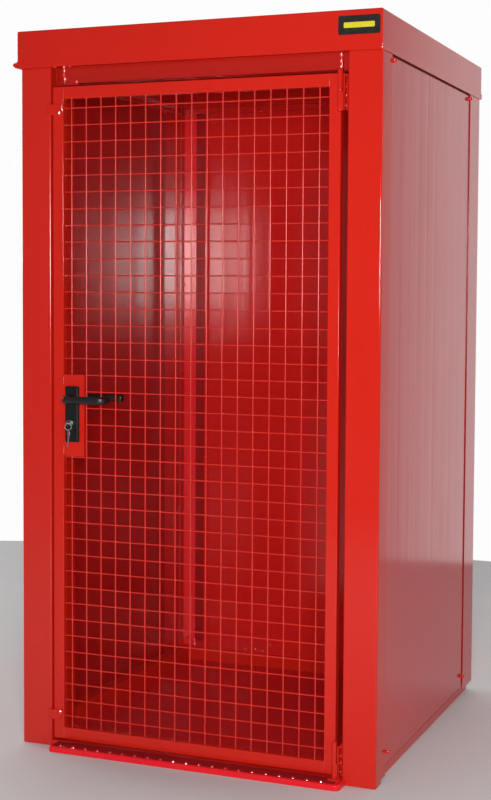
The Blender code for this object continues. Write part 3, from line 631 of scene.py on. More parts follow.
# light strips on the rear posts' back flanges, in a brighter copy of the red coat: painted highlight
flats = []
for s in (-1, 1):
    xs = sorted((s * 0.5012, s * 0.5480))
    flats.append(slab(xs[0], xs[1], REAR_Y - t - 0.0016, REAR_Y - t - 0.0002, 0.052, 2.071, 0.0006, 3))
    for z, w in ((0.058, 0.0055), (0.071, 0.0040), (0.104, 0.0060), (0.560, 0.0036), (1.420, 0.0040), (1.905, 0.0052)):
        flats.append(lens((s * (0.5480 if z > 0.09 else 0.5012), REAR_Y - t - 0.0026, z), w, 0.0016, seed=int(z * 900), long_z=1.5))
piece("rear_corner_flanges", joined(*flats), PAINT_FLANGE_LIT, "cabin")


# ------------------------------------------------------------------ walls of grooved sheet
def groove_line(a0, a1, first):
    """The middle of the grooved sheet, (along, depth)."""
    out = [(a0, WALL_T / 2)]
    c = first
    while c < a1 - 0.030:
        out += [(c - RIB_FLAT / 2 - RIB_SLOPE, WALL_T / 2), (c - RIB_FLAT / 2, RIB_D + WALL_T / 2),
                (c + RIB_FLAT / 2, RIB_D + WALL_T / 2), (c + RIB_FLAT / 2 + RIB_SLOPE, WALL_T / 2)]
        c += RIB_PITCH
    return out + [(a1, WALL_T / 2)]


def panel_sheet(a0, a1, first, b_out, sign, axis_is_y, seed, hem=0.0, rib=0.15, wave=0.3, fine=0.0):
    """A grooved sheet with softly rounded folds and a trace of waviness in the flats."""
    line = groove_line(a0, a1, first)
    line = [(p[0], WALL_T / 2 + (p[1] - WALL_T / 2) * rib) for p in line]
    if hem > 0:
        w = WALL_T / 2
        line = [(a0 + 0.012 - w, hem), (a0 + w, hem), (a0 + w, w)] + line[1:-1] + [(a1 - w, w), (a1 - w, hem), (a1 - 0.012 + w, hem)]
        radii = [0.0020, 0.0026] + [0.0300] * (len(line) - 6) + [0.0026, 0.0020]
    else:
        radii = 0.0300
    flat = folded(line, WALL_T, radii, 4)
    # the long flats get points of their own, so that the waviness shows
    dense = []
    for i, p in enumerate(flat):
        q = flat[(i + 1) % len(flat)]
        dense.append(p)
        gap = math.hypot(q[0] - p[0], q[1] - p[1])
        k = int(gap / (0.016 if fine == 0 else 0.0055))
        for j in range(1, k):
            s = j / k
            dense.append((p[0] + (q[0] - p[0]) * s, p[1] + (q[1] - p[1]) * s))

    def shape(z):
        out = []
        edge = min(1.0, (z - WALL_LOW) / 0.12, (WALL_HIGH - z) / 0.12)
        for a, d in dense:
            e = min(1.0, (a - a0) / 0.05, (a1 - a) / 0.05)
            k = max(0.0, min(edge, e))
            v = noise.noise(Vector((a * 5.0 + seed, z * 1.6, seed * 2.0)))
            v2 = noise.noise(Vector((a * 13.0 + seed, z * 5.0, seed * 5.0)))
            depth = d + k * wave * (0.00015 + 0.00026 * v + 0.00007 * v2)
            if fine > 0:
                depth += k * fine * (noise.noise(Vector((a * 42.0 + seed, z * 0.7, seed * 3.0))) + 0.5 * noise.noise(Vector((a * 78.0 + seed, z * 0.9, seed * 7.0))))
            b = b_out + sign * depth
            out.append((b, a) if axis_is_y else (a, b))
        return out
    return prism(dense, 'Z', spread(WALL_LOW, WALL_HIGH, 44), shape)


WY0 = FRONT_Y + POST_SIDE + 0.0006
WY1 = REAR_Y - REAR_SIDE - 0.0006
# the left panel uses a darker copy of the panel coat: painted shade
piece("side_panel_left", panel_sheet(WY0, WY1, RIB_Y0, -WALL_OUT, 1, True, 3.1, 0.0, 0.015, 0.05), PAINT_WALL_L_SHADE, "cabin",
      ["side_wall_left"], bevel=0.0)
piece("side_panel_right", panel_sheet(WY0, WY1, RIB_Y0, WALL_OUT, -1, True, 8.4, 0.0, 0.045, 0.7, 0.000052), PAINT_WALL, "cabin",
      ["side_wall_right"], bevel=0.0)
WX = BODY_HALF - REAR_W - 0.0006
# the rear panel uses a brighter copy of the panel coat: painted light
piece("rear_panel", panel_sheet(-WX, WX, -4 * RIB_PITCH, REAR_Y - 0.003, -1, False, 5.7, 0.017 - WALL_T / 2),
      PAINT_WALL_R_LIT, "cabin", ["rear_wall"], bevel=0.0)

# ------------------------------------------------------------------ head of the frame and top rails
HX = IN_POST - GAP
head = [(-HX, HEAD_Y1), (-HX, HEAD_Y0 + 0.034), (-0.432, HEAD_Y0 + 0.034), (-0.432, HEAD_Y0),
        (0.447, HEAD_Y0), (0.447, HEAD_Y0 + 0.018), (HX, HEAD_Y0 + 0.018), (HX, HEAD_Y1)]
# the header is in a darker copy of the red coat: painted shade under the fascia
piece("door_head", joined(prism(head, 'Z', [HEAD_Z0, HEAD_Z1]), slab(-0.4318, -0.3845, HEAD_Y0 + 0.0004, HEAD_Y0 + 0.0040, 2.0130, HEAD_Z0 + 0.004)),
      PAINT_HEAD_SHADE, "cabin", ["door_header"], bevel=0.0016, segs=3)

TZ0, TZ1, LIP_D, LIP_H = 2.072, 2.1725, 0.010, 0.020
IN_X = WALL_OUT - RIB_D - WALL_T - GAP
IN_Y = REAR_Y - 0.003 - 0.017 - GAP


def rail_section(out, inw, d=0.030):
    return [(out, TZ0 - LIP_H), (out + inw * LIP_D, TZ0 - LIP_H), (out + inw * LIP_D, TZ0),
            (out + inw * d, TZ0), (out + inw * d, TZ1), (out, TZ1)]


RY0 = FRONT_Y + POST_INNER + 0.001
piece("top_beam_left", prism(rail_section(-IN_X, 1), 'Y', [RY0, IN_Y]), PAINT_IN, "cabin", ["top_rail_left"], bevel=0.0022, segs=3)
piece("top_beam_right", prism(rail_section(IN_X, -1), 'Y', [RY0, IN_Y]), PAINT_IN, "cabin", ["top_rail_right"], bevel=0.0022, segs=3)
piece("top_beam_rear", prism(rail_section(IN_Y, -1), 'X', [-IN_X + 0.030 + GAP, IN_X - 0.030 - GAP]), PAINT_IN, "cabin",
      ["top_rail_rear"], bevel=0.0022, segs=3)
piece("top_beam_front", slab(-IN_POST + GAP, IN_POST - GAP, HEAD_Y1 + 0.020, HEAD_Y1 + 0.050, 2.120, TZ1, 0.0022, 3),
      PAINT_IN, "cabin", ["top_rail_front"])

# ------------------------------------------------------------------ roof: one folded tray, welded at its corners
R = 0.0042
section = [(0.0003, FASCIA_LOW), (-0.0004, FASCIA_LOW + 0.0008), (-0.0004, FASCIA_LOW + 0.0098), (0.0, FASCIA_LOW + 0.0114), (0.0, ROOF_TOP - R)] + [(R * (1 - math.cos(math.radians(a))), ROOF_TOP - R + R * math.sin(math.radians(a)))
                                                     for a in (18, 36, 54, 72, 90)]
inner = [(ROOF_T, FASCIA_LOW), (ROOF_T, ROOF_TOP - R - 0.0005), (ROOF_T + 0.0012, ROOF_TOP - ROOF_T), (R + 0.0005, ROOF_TOP - ROOF_T)]


def roof_ring(bm, inset, z, rc=0.0032):
    x0, x1, y0, y1 = -ROOF_HALF + inset, ROOF_HALF - inset, ROOF_Y0 + inset, ROOF_Y1 - inset
    r = max(rc - inset * 0.4, 0.0008)
    pts = arc(x1 - r, y1 - r, r, 0, 90, 5) + arc(x0 + r, y1 - r, r, 90, 180, 5) + \
        arc(x0 + r, y0 + r, r, 180, 270, 5) + arc(x1 - r, y0 + r, r, 270, 360, 5)
    return [bm.verts.new((px, py, z)) for px, py in pts]


bm = bmesh.new()
outer_rings = [roof_ring(bm, d, z) for d, z in section]
inner_rings = [roof_ring(bm, d, z) for d, z in inner]
for chain in (outer_rings, inner_rings):
    for p, q in zip(chain[:-1], chain[1:]):
        for k in range(len(p)):
            j = (k + 1) % len(p)
            bm.faces.new([p[k], p[j], q[j], q[k]])
bm.faces.new(outer_rings[-1])
bm.faces.new(list(reversed(inner_rings[-1])))
for k in range(len(outer_rings[0])):
    j = (k + 1) % len(outer_rings[0])
    bm.faces.new([outer_rings[0][k], inner_rings[0][k], inner_rings[0][j], outer_rings[0][j]])
piece("roof_tray", bm, PAINT, "cabin", ["roof_sheet", "fascia_front", "fascia_rear", "fascia_left", "fascia_right"],
      bevel=0.0005)

lx = -ROOF_HALF - GAP
lip = [(lx, LIP_Z1 + 0.0010), (lx - 0.0065, LIP_Z1 + 0.0004)] + arc(lx - LIP_OUT + GAP + 0.0052, LIP_Z1 - 0.0062, 0.0052, 96, 232, 8)
lip += [(lx - 0.0060, LIP_Z0 + 0.0016), (lx, LIP_Z0)]
piece("roof_drip_edge", prism(lip, 'Y', [ROOF_Y0, ROOF_Y1]), PAINT, "cabin", ["roof_drip_lip"], bevel=0.0012, segs=3)

# dark strips just under the fascia: painted shadow
eaves = [slab(-WX + 0.004, WX - 0.004, REAR_Y - 0.0032, REAR_Y - 0.0024, 2.0600, 2.0720, 0.0002, 1)]
for s in (-1, 1):
    xs = sorted((s * (WALL_OUT - 0.0006), s * (WALL_OUT + 0.0006)))
    eaves.append(slab(xs[0], xs[1], WY0 + 0.001, WY1 - 0.001, 2.0595, 2.0720, 0.0002, 1))
piece("eaves_shade_strips", joined(*eaves), PAINT_SHADOW, "cabin")

cw = []
for k, (sx, cy) in enumerate(((1, ROOF_Y0), (-1, ROOF_Y0), (1, ROOF_Y1), (-1, ROOF_Y1))):
    sy = -1 if cy < 0 else 1
    cx = sx * (ROOF_HALF - 0.0006)
    cw.append(bead((cx, cy - sy * 0.0006, FASCIA_LOW + 0.001), (cx, cy - sy * 0.0006, FASCIA_LOW + 0.022), 0.0021, 500 + k))
    cw.append(lens((cx, cy - sy * 0.0002, FASCIA_LOW + 0.0045), 0.0044 if k == 0 else 0.0028, 0.0014, (None if k == 0 else (sx * 0.45, sy * 0.88, -0.10)), 510 + k, 1.5))
    cw.append(lens((cx, cy - sy * 0.0002, FASCIA_LOW + 0.0120), 0.0036 if k == 0 else 0.0024, 0.0011, (None if k == 0 else (sx * 0.45, sy * 0.88, -0.10)), 520 + k, 1.8))
piece("fascia_corner_welds", joined(*cw), PAINT_POST_L, "cabin", angle=60)

# plain sign plate: black, rounded, with a thin rim and one plain yellow bar
SX0, SX1, SZ0, SZ1 = 0.4463, 0.5677, 2.1073, 2.1590
SY1 = ROOF_Y0 - GAP


def round_rect(x0, x1, z0, z1, r, n=6):
    return (arc(x1 - r, z1 - r, r, 0, 90, n) + arc(x0 + r, z1 - r, r, 90, 180, n) +
            arc(x0 + r, z0 + r, r, 180, 270, n) + arc(x1 - r, z0 + r, r, 270, 360, n))


plate = prism(round_rect(SX0, SX1, SZ0, SZ1, 0.0045), 'Y', [SY1 - 0.0009, SY1])
bar = tint(prism(round_rect(SX0 + 0.016, SX1 - 0.016, (SZ0 + SZ1) / 2 - 0.0075, (SZ0 + SZ1) / 2 + 0.0075, 0.003), 'Y',
                 [SY1 - 0.0011, SY1 - 0.0005]), 1)
rim_o = round_rect(SX0, SX1, SZ0, SZ1, 0.0045)
rim_i = round_rect(SX0 + 0.0016, SX1 - 0.0016, SZ0 + 0.0016, SZ1 - 0.0016, 0.0035)
rim = bmesh.new()
fr = [[rim.verts.new((p[0], y, p[1])) for p in pts] for y, pts in ((SY1 - 0.0012, rim_o), (SY1 - 0.0012, rim_i), (SY1 - 0.0004, rim_i), (SY1 - 0.0004, rim_o))]
for p, q in zip(fr, fr[1:] + fr[:1]):
    for k in range(len(p)):
        j = (k + 1) % len(p)
        rim.faces.new([p[k], p[j], q[j], q[k]])
piece("blank_sign", joined(plate, bar, rim), [SIGN_BLACK, SIGN_YELLOW], "cabin", ["sign_plate"])

# ------------------------------------------------------------------ door frame of rectangular tube
DY0, DY1 = FRONT_Y, FRONT_Y + DOOR_D
TR = 0.0026
sec = (arc(DOOR_TUBE - TR, DY1 - TR, TR, 0, 90, 5) + arc(TR, DY1 - TR, TR, 90, 180, 5) +
       arc(TR, DY0 + TR, TR, 180, 270, 5) + arc(DOOR_TUBE - TR, DY0 + TR, TR, 270, 360, 5))
bm = bmesh.new()
kz = DOOR_RAIL / DOOR_TUBE
corners = [(DOOR_X0, DOOR_Z0, 1, 1), (DOOR_X1, DOOR_Z0, -1, 1), (DOOR_X1, DOOR_Z1, -1, -1), (DOOR_X0, DOOR_Z1, 1, -1)]
rings = [[bm.verts.new((cx + sx * s, y, cz + sz * s * kz)) for s, y in sec] for cx, cz, sx, sz in corners]
for i in range(4):
    p, q = rings[i], rings[(i + 1) % 4]
    for k in range(len(sec)):
        j = (k + 1) % len(sec)
        bm.faces.new([p[k], p[j], q[j], q[k]])
# slight rounding of the four outer corners of the frame
outer_edges = []
for e in bm.edges:
    a, b = e.verts
    if abs(a.co.x - b.co.x) < 1e-5 and abs(a.co.z - b.co.z) < 1e-5:
        if (abs(a.co.x - DOOR_X0) < 1e-4 or abs(a.co.x - DOOR_X1) < 1e-4) and (abs(a.co.z - DOOR_Z0) < 1e-4 or abs(a.co.z - DOOR_Z1) < 1e-4):
            outer_edges.append(e)
bmesh.ops.bevel(bm, geom=outer_edges, offset=0.0018, segments=3, profile=0.5, affect='EDGES')
piece("door_frame", bm, PAINT, "door",
      ["door_stile_left", "door_stile_right", "door_rail_top", "door_rail_bottom"])

# ground weld seams where the rails butt against the stiles, front and back
seams = []
k = 0
for sx, x in ((-1, DOOR_X0 + DOOR_TUBE), (1, DOOR_X1 - DOOR_TUBE)):
    for z0, z1 in ((DOOR_Z0 + 0.002, DOOR_Z0 + DOOR_RAIL - 0.001), (DOOR_Z1 - DOOR_RAIL + 0.001, DOOR_Z1 - 0.002)):
        for y in (DY0, DY1):
            k += 1
            seams.append(bead((x, y, z0), (x, y, z1), 0.0011, 40 + k, 0.0018, 1.6, (1, 0, 0)))
    # small fillet welds in the inner corners of the frame
for sx, x in ((1, DOOR_X0 + DOOR_TUBE), (-1, DOOR_X1 - DOOR_TUBE)):
    for sz, z in ((1, DOOR_Z0 + DOOR_RAIL), (-1, DOOR_Z1 - DOOR_RAIL)):
        k += 1
        seams.append(bead((x + sx * 0.0006, DY0 + 0.003, z + sz * 0.0006), (x + sx * 0.0006, DY1 - 0.003, z + sz * 0.0006), 0.0021, 60 + k))
for i, (x, z) in enumerate(((-0.4277, 1.9712), (-0.4285, 1.9600), (-0.4292, 1.9500), (-0.4297, 1.9395))):
    seams.append(lens((x, DY0 - 0.0004, z), 0.0040, 0.0011, seed=600 + i, long_z=1.5))
piece("door_frame_welds", joined(*seams), PAINT_WELD, "door")

# ------------------------------------------------------------------ welded mesh: verticals in front, horizontals behind
WR = 0.0023
YV, YH = -0.0014, 0.0025
MX0, MX1 = DOOR_X0 + DOOR_TUBE, DOOR_X1 - DOOR_TUBE
MZ0, MZ1 = DOOR_Z0 + DOOR_RAIL, DOOR_Z1 - DOOR_RAIL
XS = [WIRE_X0 + i * PITCH_X for i in range(N_V)]
ZS = [WIRE_Z0 - j * PITCH_Z for j in range(N_H)]
rnd = random.Random(12)
JX = [rnd.uniform(-0.0004, 0.0004) for _ in XS]
JZ = [rnd.uniform(-0.0004, 0.0004) for _ in ZS]


def wire(a, b, ph, lead):
    a, b = Vector(a), Vector(b)
    n = max(2, int((b - a).length / 0.06))
    pts = []
    for i in range(n + 1):
        s = i / n
        p = a.lerp(b, s)
        k = math.sin(math.pi * s)
        w = noise.noise(Vector((ph, s * 4.0, 0.3))) * 0.0007 * k
        if lead == 'Z':
            p.x += w
        else:
            p.z += w
        pts.append(p)
    return sweep(pts, (WR, WR), 12, (0, 1, 0))


wires, nuggets = [], []
for i, x in enumerate(XS):
    spans = [(MZ0 - 0.0006, MZ1 + 0.0006)]
    if x < BOX_X1:
        spans = [(MZ0 - 0.0006, BOX_Z0 + 0.0006), (BOX_Z1 - 0.0006, MZ1 + 0.0006)]
    for a, b in spans:
        wires.append(wire((x + JX[i], YV, a), (x + JX[i], YV, b), i * 1.7 + a, 'Z'))
        for z, s in ((a, 1), (b, -1)):
            nuggets.append(blob((x + JX[i], YV, z + s * 0.0006), 0.0036, (1.1, 0.9, 0.75), i * 2 + s + 50, 0.25))
for j, z in enumerate(ZS):
    x0 = MX0 - 0.0006
    if BOX_Z0 < z < BOX_Z1:
        x0 = BOX_X1 - 0.0006
    wires.append(wire((x0, YH, z + JZ[j]), (MX1 + 0.0006, YH, z + JZ[j]), j * 2.3 + 9, 'X'))
    nuggets.append(blob((x0 + 0.0006, YH, z + JZ[j]), 0.0036, (0.75, 0.9, 1.1), j + 90, 0.25))
    nuggets.append(blob((MX1, YH, z + JZ[j]), 0.0036, (0.75, 0.9, 1.1), j + 140, 0.25))
# the little pressed collar of each resistance weld
cross = bmesh.new()
for i, x in enumerate(XS):
    for j, z in enumerate(ZS):
        if x < BOX_X1 and BOX_Z0 < z < BOX_Z1:
            continue
        c = Vector((x + JX[i], (YV + YH) / 2, z + JZ[j]))
        vs = []
        for k in range(8):
            a = 2 * math.pi * (k + 0.5) / 8
            rr = 0.0031 * (1 + 0.12 * noise.noise(Vector((i * 3.1 + k, j * 1.7, 0.5))))
            vs.append(cross.verts.new(c + Vector((rr * math.cos(a), 0.0, rr * math.sin(a)))))
        tf = cross.verts.new(c + Vector((0, -0.0022, 0)))
        tb = cross.verts.new(c + Vector((0, 0.0022, 0)))
        for k in range(8):
            q = (k + 1) % 8
            cross.faces.new([vs[k], vs[q], tf])
            cross.faces.new([vs[q], vs[k], tb])
piece("door_mesh", joined(cross, *wires), PAINT_WIRE, "door",
      ["door_mesh_upper", "door_mesh_middle", "door_mesh_lower"], angle=50)
piece("door_mesh_tacks", joined(*nuggets), PAINT_WELD, "door", angle=60)

# ------------------------------------------------------------------ lock box, escutcheons, cylinders
piece("lock_case", slab(BOX_X0 + GAP, BOX_X1, DY0, DY1, BOX_Z0, BOX_Z1, 0.0016, 3), PAINT, "door", ["lock_box"])
welds = [bead((BOX_X0, DY0 - 0.0002, BOX_Z0 + 0.004), (BOX_X0, DY0 - 0.0002, BOX_Z0 + 0.034), 0.0012, 71, 0.0018, 1.4, (1, 0, 0)),
         bead((BOX_X0, DY0 - 0.0002, BOX_Z1 - 0.034), (BOX_X0, DY0 - 0.0002, BOX_Z1 - 0.004), 0.0012, 72, 0.0018, 1.4, (1, 0, 0)),
         bead((BOX_X0, DY1 + 0.0002, BOX_Z0 + 0.004), (BOX_X0, DY1 + 0.0002, BOX_Z0 + 0.034), 0.0012, 73, 0.0018, 1.4, (1, 0, 0)),
         bead((BOX_X0, DY1 + 0.0002, BOX_Z1 - 0.034), (BOX_X0, DY1 + 0.0002, BOX_Z1 - 0.004), 0.0012, 74, 0.0018, 1.4, (1, 0, 0))]
piece("lock_case_welds", joined(*welds), PAINT_IN, "door")


def escutcheon(name, y_wall, s, node):
    """Long plate with chamfered edges, a round boss for the lever and an opening for the cylinder."""
    w, h0, h1 = 0.023, ESC_Z0, ESC_Z1
    bm = bmesh.new()
    rings = []
    for d, inset, r in ((0.0, 0.0, 0.0050), (0.0050, 0.0, 0.0050), (0.0078, 0.0020, 0.0040), (0.0088, 0.0034, 0.0032), (ESC_T, 0.0046, 0.0028)):
        pts = round_rect(SPIN_X - w + inset, SPIN_X + w - inset, h0 + inset, h1 - inset, r, 5)
        rings.append([bm.verts.new((p[0], y_wall + s * d, p[1])) for p in pts])
    for p, q in zip(rings[:-1], rings[1:]):
        for k in range(len(p)):
            j = (k + 1) % len(p)
            bm.faces.new([p[k], p[j], q[j], q[k]])
    bm.faces.new(list(reversed(rings[0])))
    bm.faces.new(rings[-1])
    for z, r in ((SPIN_Z, 0.0108), (CYL_Z, 0.0093)):
        hole = lathe([(r, -0.02), (r, 0.03)], (SPIN_X, y_wall, z), (0, s, 0), 32)
        bm = cut_with(bm, hole)
    # raised collar round the lever's neck
    col = bmesh.new()
    n = 36
    prof = [(0.0109, 0.004), (0.0140, 0.004), (0.0140, ESC_T + 0.0006), (0.0134, ESC_T + 0.0013), (0.0114, ESC_T + 0.0013), (0.0109, ESC_T + 0.0007)]
    rr = [[col.verts.new((SPIN_X + r * math.cos(2 * math.pi * k / n), y_wall + s * a, SPIN_Z + r * math.sin(2 * math.pi * k / n)))
           for k in range(n)] for r, a in prof]
    for p, q in zip(rr, rr[1:] + rr[:1]):
        for k in range(n):
            j = (k + 1) % n
            col.faces.new([p[k], p[j], q[j], q[k]])
    return piece(name, joined(bm, col), NYLON, "door", [node], angle=30)


escutcheon("lock_plate_outer", DY0 - GAP, -1, "escutcheon_outer")
escutcheon("lock_plate_inner", DY1 + GAP, 1, "escutcheon_inner")


def cylinder_end(name, y_wall, s, node):
    """Turned end of the profile cylinder with its keyway."""
    f = ESC_T + 0.004
    body = lathe([(0.0085, 0.0), (0.0085, f - 0.0012), (0.0080, f - 0.0004), (0.0074, f - 0.0002), (0.0071, f - 0.0006),
                  (0.0068, f - 0.0006), (0.0064, f), (0.0, f)], (SPIN_X, y_wall, CYL_Z), (0, s, 0), 36)
    ys = sorted((y_wall + s * (f - 0.0006), y_wall + s * (f + 0.00006)))
    slot = tint(slab(SPIN_X - 0.0011, SPIN_X + 0.0011, ys[0], ys[1], CYL_Z - 0.0050, CYL_Z + 0.0038, 0.00002, 1), 1)
    return piece(name, joined(body, slot), [NICKEL, HOLE], "door", [node])


cylinder_end("lock_barrel_outer", DY0 - GAP, -1, "lock_cylinder_outer")
cylinder_end("lock_barrel_inner", DY1 + GAP, 1, "lock_cylinder_inner")


def key_plate(origin, right, up, thick):
    """A flat key: round bow with a hole, shoulder and a toothed blade that points down."""
    o, r, u = Vector(origin), Vector(right).normalized(), Vector(up).normalized()
    nrm = r.cross(u).normalized()
    ow, n = 0.0112, 40
    outer = []
    for k in range(n):
        a = math.radians(-62 + (360 - 56) * k / (n - 1))
        outer.append((ow * math.cos(a), 0.0125 * math.sin(a)))
    blade = [(-0.0040, -0.0150), (-0.0040, -0.0185), (-0.0030, -0.0185), (-0.0030, -0.0415), (-0.0012, -0.0440),
             (0.0010, -0.0425), (0.0022, -0.0400), (0.0012, -0.0375), (0.0028, -0.0345), (0.0016, -0.0315), (0.0028, -0.0285),
             (0.0014, -0.0255), (0.0030, -0.0225), (0.0030, -0.0185), (0.0040, -0.0185), (0.0040, -0.0150)]
    pts = outer + blade
    bm = bmesh.new()
    fr = [bm.verts.new(o + r * x + u * y + nrm * (thick / 2)) for x, y in pts]
    bk = [bm.verts.new(o + r * x + u * y - nrm * (thick / 2)) for x, y in pts]
    bm.faces.new(fr)
    bm.faces.new(list(reversed(bk)))
    for k in range(len(pts)):
        j = (k + 1) % len(pts)
        bm.faces.new([fr[k], bk[k], bk[j], fr[j]])
    hole = lathe([(0.0036, -0.01), (0.0036, 0.01)], o + u * 0.0060, nrm, 20)
    return cut_with(bm, hole)


# the key in the cylinder stands edge up; its twin hangs from the ring
KF = DY0 - GAP - ESC_T - 0.004
turn = Matrix.Rotation(math.radians(90), 3, 'X')
key_in = key_plate((SPIN_X, KF - 0.0165, CYL_Z), (0.34, 0, 0.94), (0, -1, 0), 0.0022)
ring_c = Vector((SPIN_X + 0.0046, KF - 0.0230, CYL_Z - 0.0098))
ring_n = Vector((0.62, -0.78, 0.06)).normalized()
ru = (Vector((0, 0, 1)) - ring_n * ring_n.z).normalized()
rv = ring_n.cross(ru)
ring_pts = [ring_c + (ru * math.cos(2 * math.pi * k / 40) + rv * math.sin(2 * math.pi * k / 40)) * 0.0098 for k in range(40)]
ring = sweep(ring_pts, (0.0009, 0.0009), 10, ring_n, True)
key_hang = key_plate((SPIN_X + 0.0062, KF - 0.0234, CYL_Z - 0.0098 - 0.0098 - 0.0082), (0.724, -0.690, 0.0), (0.05, 0.02, 1.0), 0.0022)
piece("key_pair", joined(key_in, ring, key_hang), KEY_NICKEL, "door", bevel=0.0002, segs=1)


# ------------------------------------------------------------------ lever handles
def lever(name, s, node):
    """Round neck out of the plate, an elbow, a flattened grip that widens, and a tip turned back
    towards the door."""
    face = (DY0 - GAP - ESC_T) if s < 0 else (DY1 + GAP + ESC_T)
    top = LEVER_Y if s < 0 else face + 0.0480
    bar_y = top - s * 0.0072
    L = LEVER_LEN
    pts, sizes = [], []

    def add(x, y, h, w):
        pts.append((SPIN_X + x, y, SPIN_Z))
        sizes.append((h, w))
    y_in = face - s * (ESC_T - 0.0005)
    add(0.0, y_in, 0.0095, 0.0095)
    add(0.0, face + s * 0.006, 0.0095, 0.0095)
    add(0.0, face + s * 0.014, 0.0092, 0.0092)
    rb = 0.0155
    y_turn = bar_y - s * rb
    add(0.0, y_turn - s * 0.004, 0.0090, 0.0086)
    for k in range(0, 9):
        a = math.radians(90 * k / 8)
        add(rb * (1 - math.cos(a)), y_turn + s * rb * math.sin(a), 0.0090 + 0.0002 * k, 0.0084 - 0.0002 * k)
    re = 0.0175
    x_end = L - 0.0070 - re
    for x in spread(rb, x_end, 10)[1:]:
        q = (x - rb) / (x_end - rb)
        add(x, bar_y, 0.0092 + 0.0026 * q * q * (3 - 2 * q), 0.0069)
    for k in range(1, 9):
        a = math.radians(90 * k / 8)
        add(x_end + re * math.sin(a), bar_y - s * re * (1 - math.cos(a)), 0.0117 - 0.00016 * k, 0.0068)
    y_tip = bar_y - s * (re + 0.0165)
    for q in (0.25, 0.5, 0.75, 0.9):
        y = (bar_y - s * re) + (y_tip - (bar_y - s * re)) * q
        add(x_end + re, y, 0.0104 - 0.0006 * q, 0.0067 - 0.0003 * q)
    for q, kk in ((0.96, 0.86), (0.99, 0.66), (1.0, 0.38)):
        y = (bar_y - s * re) + (y_tip - (bar_y - s * re)) * q
        add(x_end + re, y, 0.0098 * kk, 0.0063 * kk)
    bm = sweep(pts, sizes, 24, (0, 0, 1), False, 2.5)
    return piece(name, bm, NYLON_GRIP, "handle", [node], angle=50)


lever("lever_grip_outer", -1, "lever_outer")
lever("lever_grip_inner", 1, "lever_inner")

# ------------------------------------------------------------------ hinges
BR_X0 = HINGE_X + BARREL_R + 0.0026
BR_X1 = IN_POST - GAP


def barrel(z0, z1, low_round, high_round):
    prof = []
    if low_round:
        prof += [(0.0, z0), (BARREL_R * 0.45, z0 + 0.0003), (BARREL_R * 0.82, z0 + 0.0018), (BARREL_R, z0 + 0.0045)]
    else:
        prof += [(BARREL_R - 0.0009, z0), (BARREL_R, z0 + 0.0009)]
    if high_round:
        prof += [(BARREL_R, z1 - 0.0062), (BARREL_R * 0.93, z1 - 0.0040), (BARREL_R * 0.70, z1 - 0.0018), (BARREL_R * 0.36, z1 - 0.0005), (0.0, z1)]
    else:
        prof += [(BARREL_R, z1 - 0.0009), (BARREL_R - 0.0009, z1)]
    return lathe(prof, (HINGE_X, HINGE_Y, 0.0), (0, 0, 1), 28)


def post_half(name, z0, z1, zb0, zb1, node, extra, seed, low_round):
    arm = slab(HINGE_X + 0.002, BR_X0 + 0.003, HINGE_Y - 0.0035, HINGE_Y + 0.0035, z0 + 0.004, z1 - 0.006, 0.0006, 2)
    plate = slab(BR_X0, BR_X0 + 0.0036, HINGE_Y - 0.0035, FRONT_Y + 0.030, zb0, zb1, 0.0008, 2)
    # recessed bar between the plate and the post
    bar = slab(BR_X0 + 0.003, BR_X1, FRONT_Y + 0.012, FRONT_Y + 0.0295, zb0 + 0.0005, zb1 - 0.0005, 0.0008, 2)
    piece(name, joined(barrel(z0, z1 - 0.0004, low_round, False), arm, plate, bar, *extra), PAINT, "cabin", [node])


post_half("hinge_upper_post_half", HT_Z[0], HT_Z[1], 1.9050, 2.0050, "hinge_top_post", [], 1, True)
foot = slab(HINGE_X - 0.015, BR_X1, HINGE_Y - 0.017, HINGE_Y + 0.0075, SILL_Z + GAP, HB_Z[0] + 0.001, 0.0008, 2)
post_half("hinge_lower_post_half", HB_Z[0], HB_Z[1], HB_Z[0], 0.1150, "hinge_bottom_post", [foot], 2, False)

# weld lumps in the recess that hold the brackets to the post, and beads along the recess
hw = []
for i, z in enumerate((2.0003, 1.9694, 1.9441, 1.9189)):
    hw.append(blob((BR_X0 + 0.0060, FRONT_Y - 0.0005, z), 0.0034, (1.0, 1.1, 1.25), 200 + i, 0.3))
for i, z in enumerate((0.1100, 0.0850, 0.0634, 0.0386)):
    hw.append(blob((BR_X0 + 0.0062, FRONT_Y - 0.0005, z), 0.0034, (1.0, 1.1, 1.25), 220 + i, 0.3))
for z0, z1, k in ((1.908, 2.002, 230), (0.026, 0.112, 231)):
    hw.append(bead((BR_X0 + 0.0052, FRONT_Y + 0.0105, z0), (BR_X0 + 0.0052, FRONT_Y + 0.0105, z1), 0.0020, k))
    hw.append(bead((BR_X1 - 0.0012, FRONT_Y + 0.0105, z0), (BR_X1 - 0.0012, FRONT_Y + 0.0105, z1), 0.0018, k + 5))
hw.append(bead((HINGE_X - 0.0135, HINGE_Y - 0.0172, SILL_Z + 0.0004), (BR_X1 - 0.003, HINGE_Y - 0.0172, SILL_Z + 0.0004), 0.0014, 232))
piece("hinge_post_welds", joined(*hw), PAINT_WELD, "cabin", angle=60)


def door_half(name, z0, z1, node, seed):
    leaf = slab(HINGE_X - 0.0062, HINGE_X - 0.0008, HINGE_Y, DY0 - GAP, z0 + 0.006, z1 - 0.012, 0.0006, 2)
    piece(name, joined(barrel(z0, z1, False, True), leaf), PAINT, "door", [node])
    b = [bead((HINGE_X - 0.0066, DY0 - 0.0004, z0 + 0.007), (HINGE_X - 0.0066, DY0 - 0.0004, z1 - 0.013), 0.0017, seed)]
    piece(name + "_weld", joined(*b), PAINT_WELD, "door", angle=60)


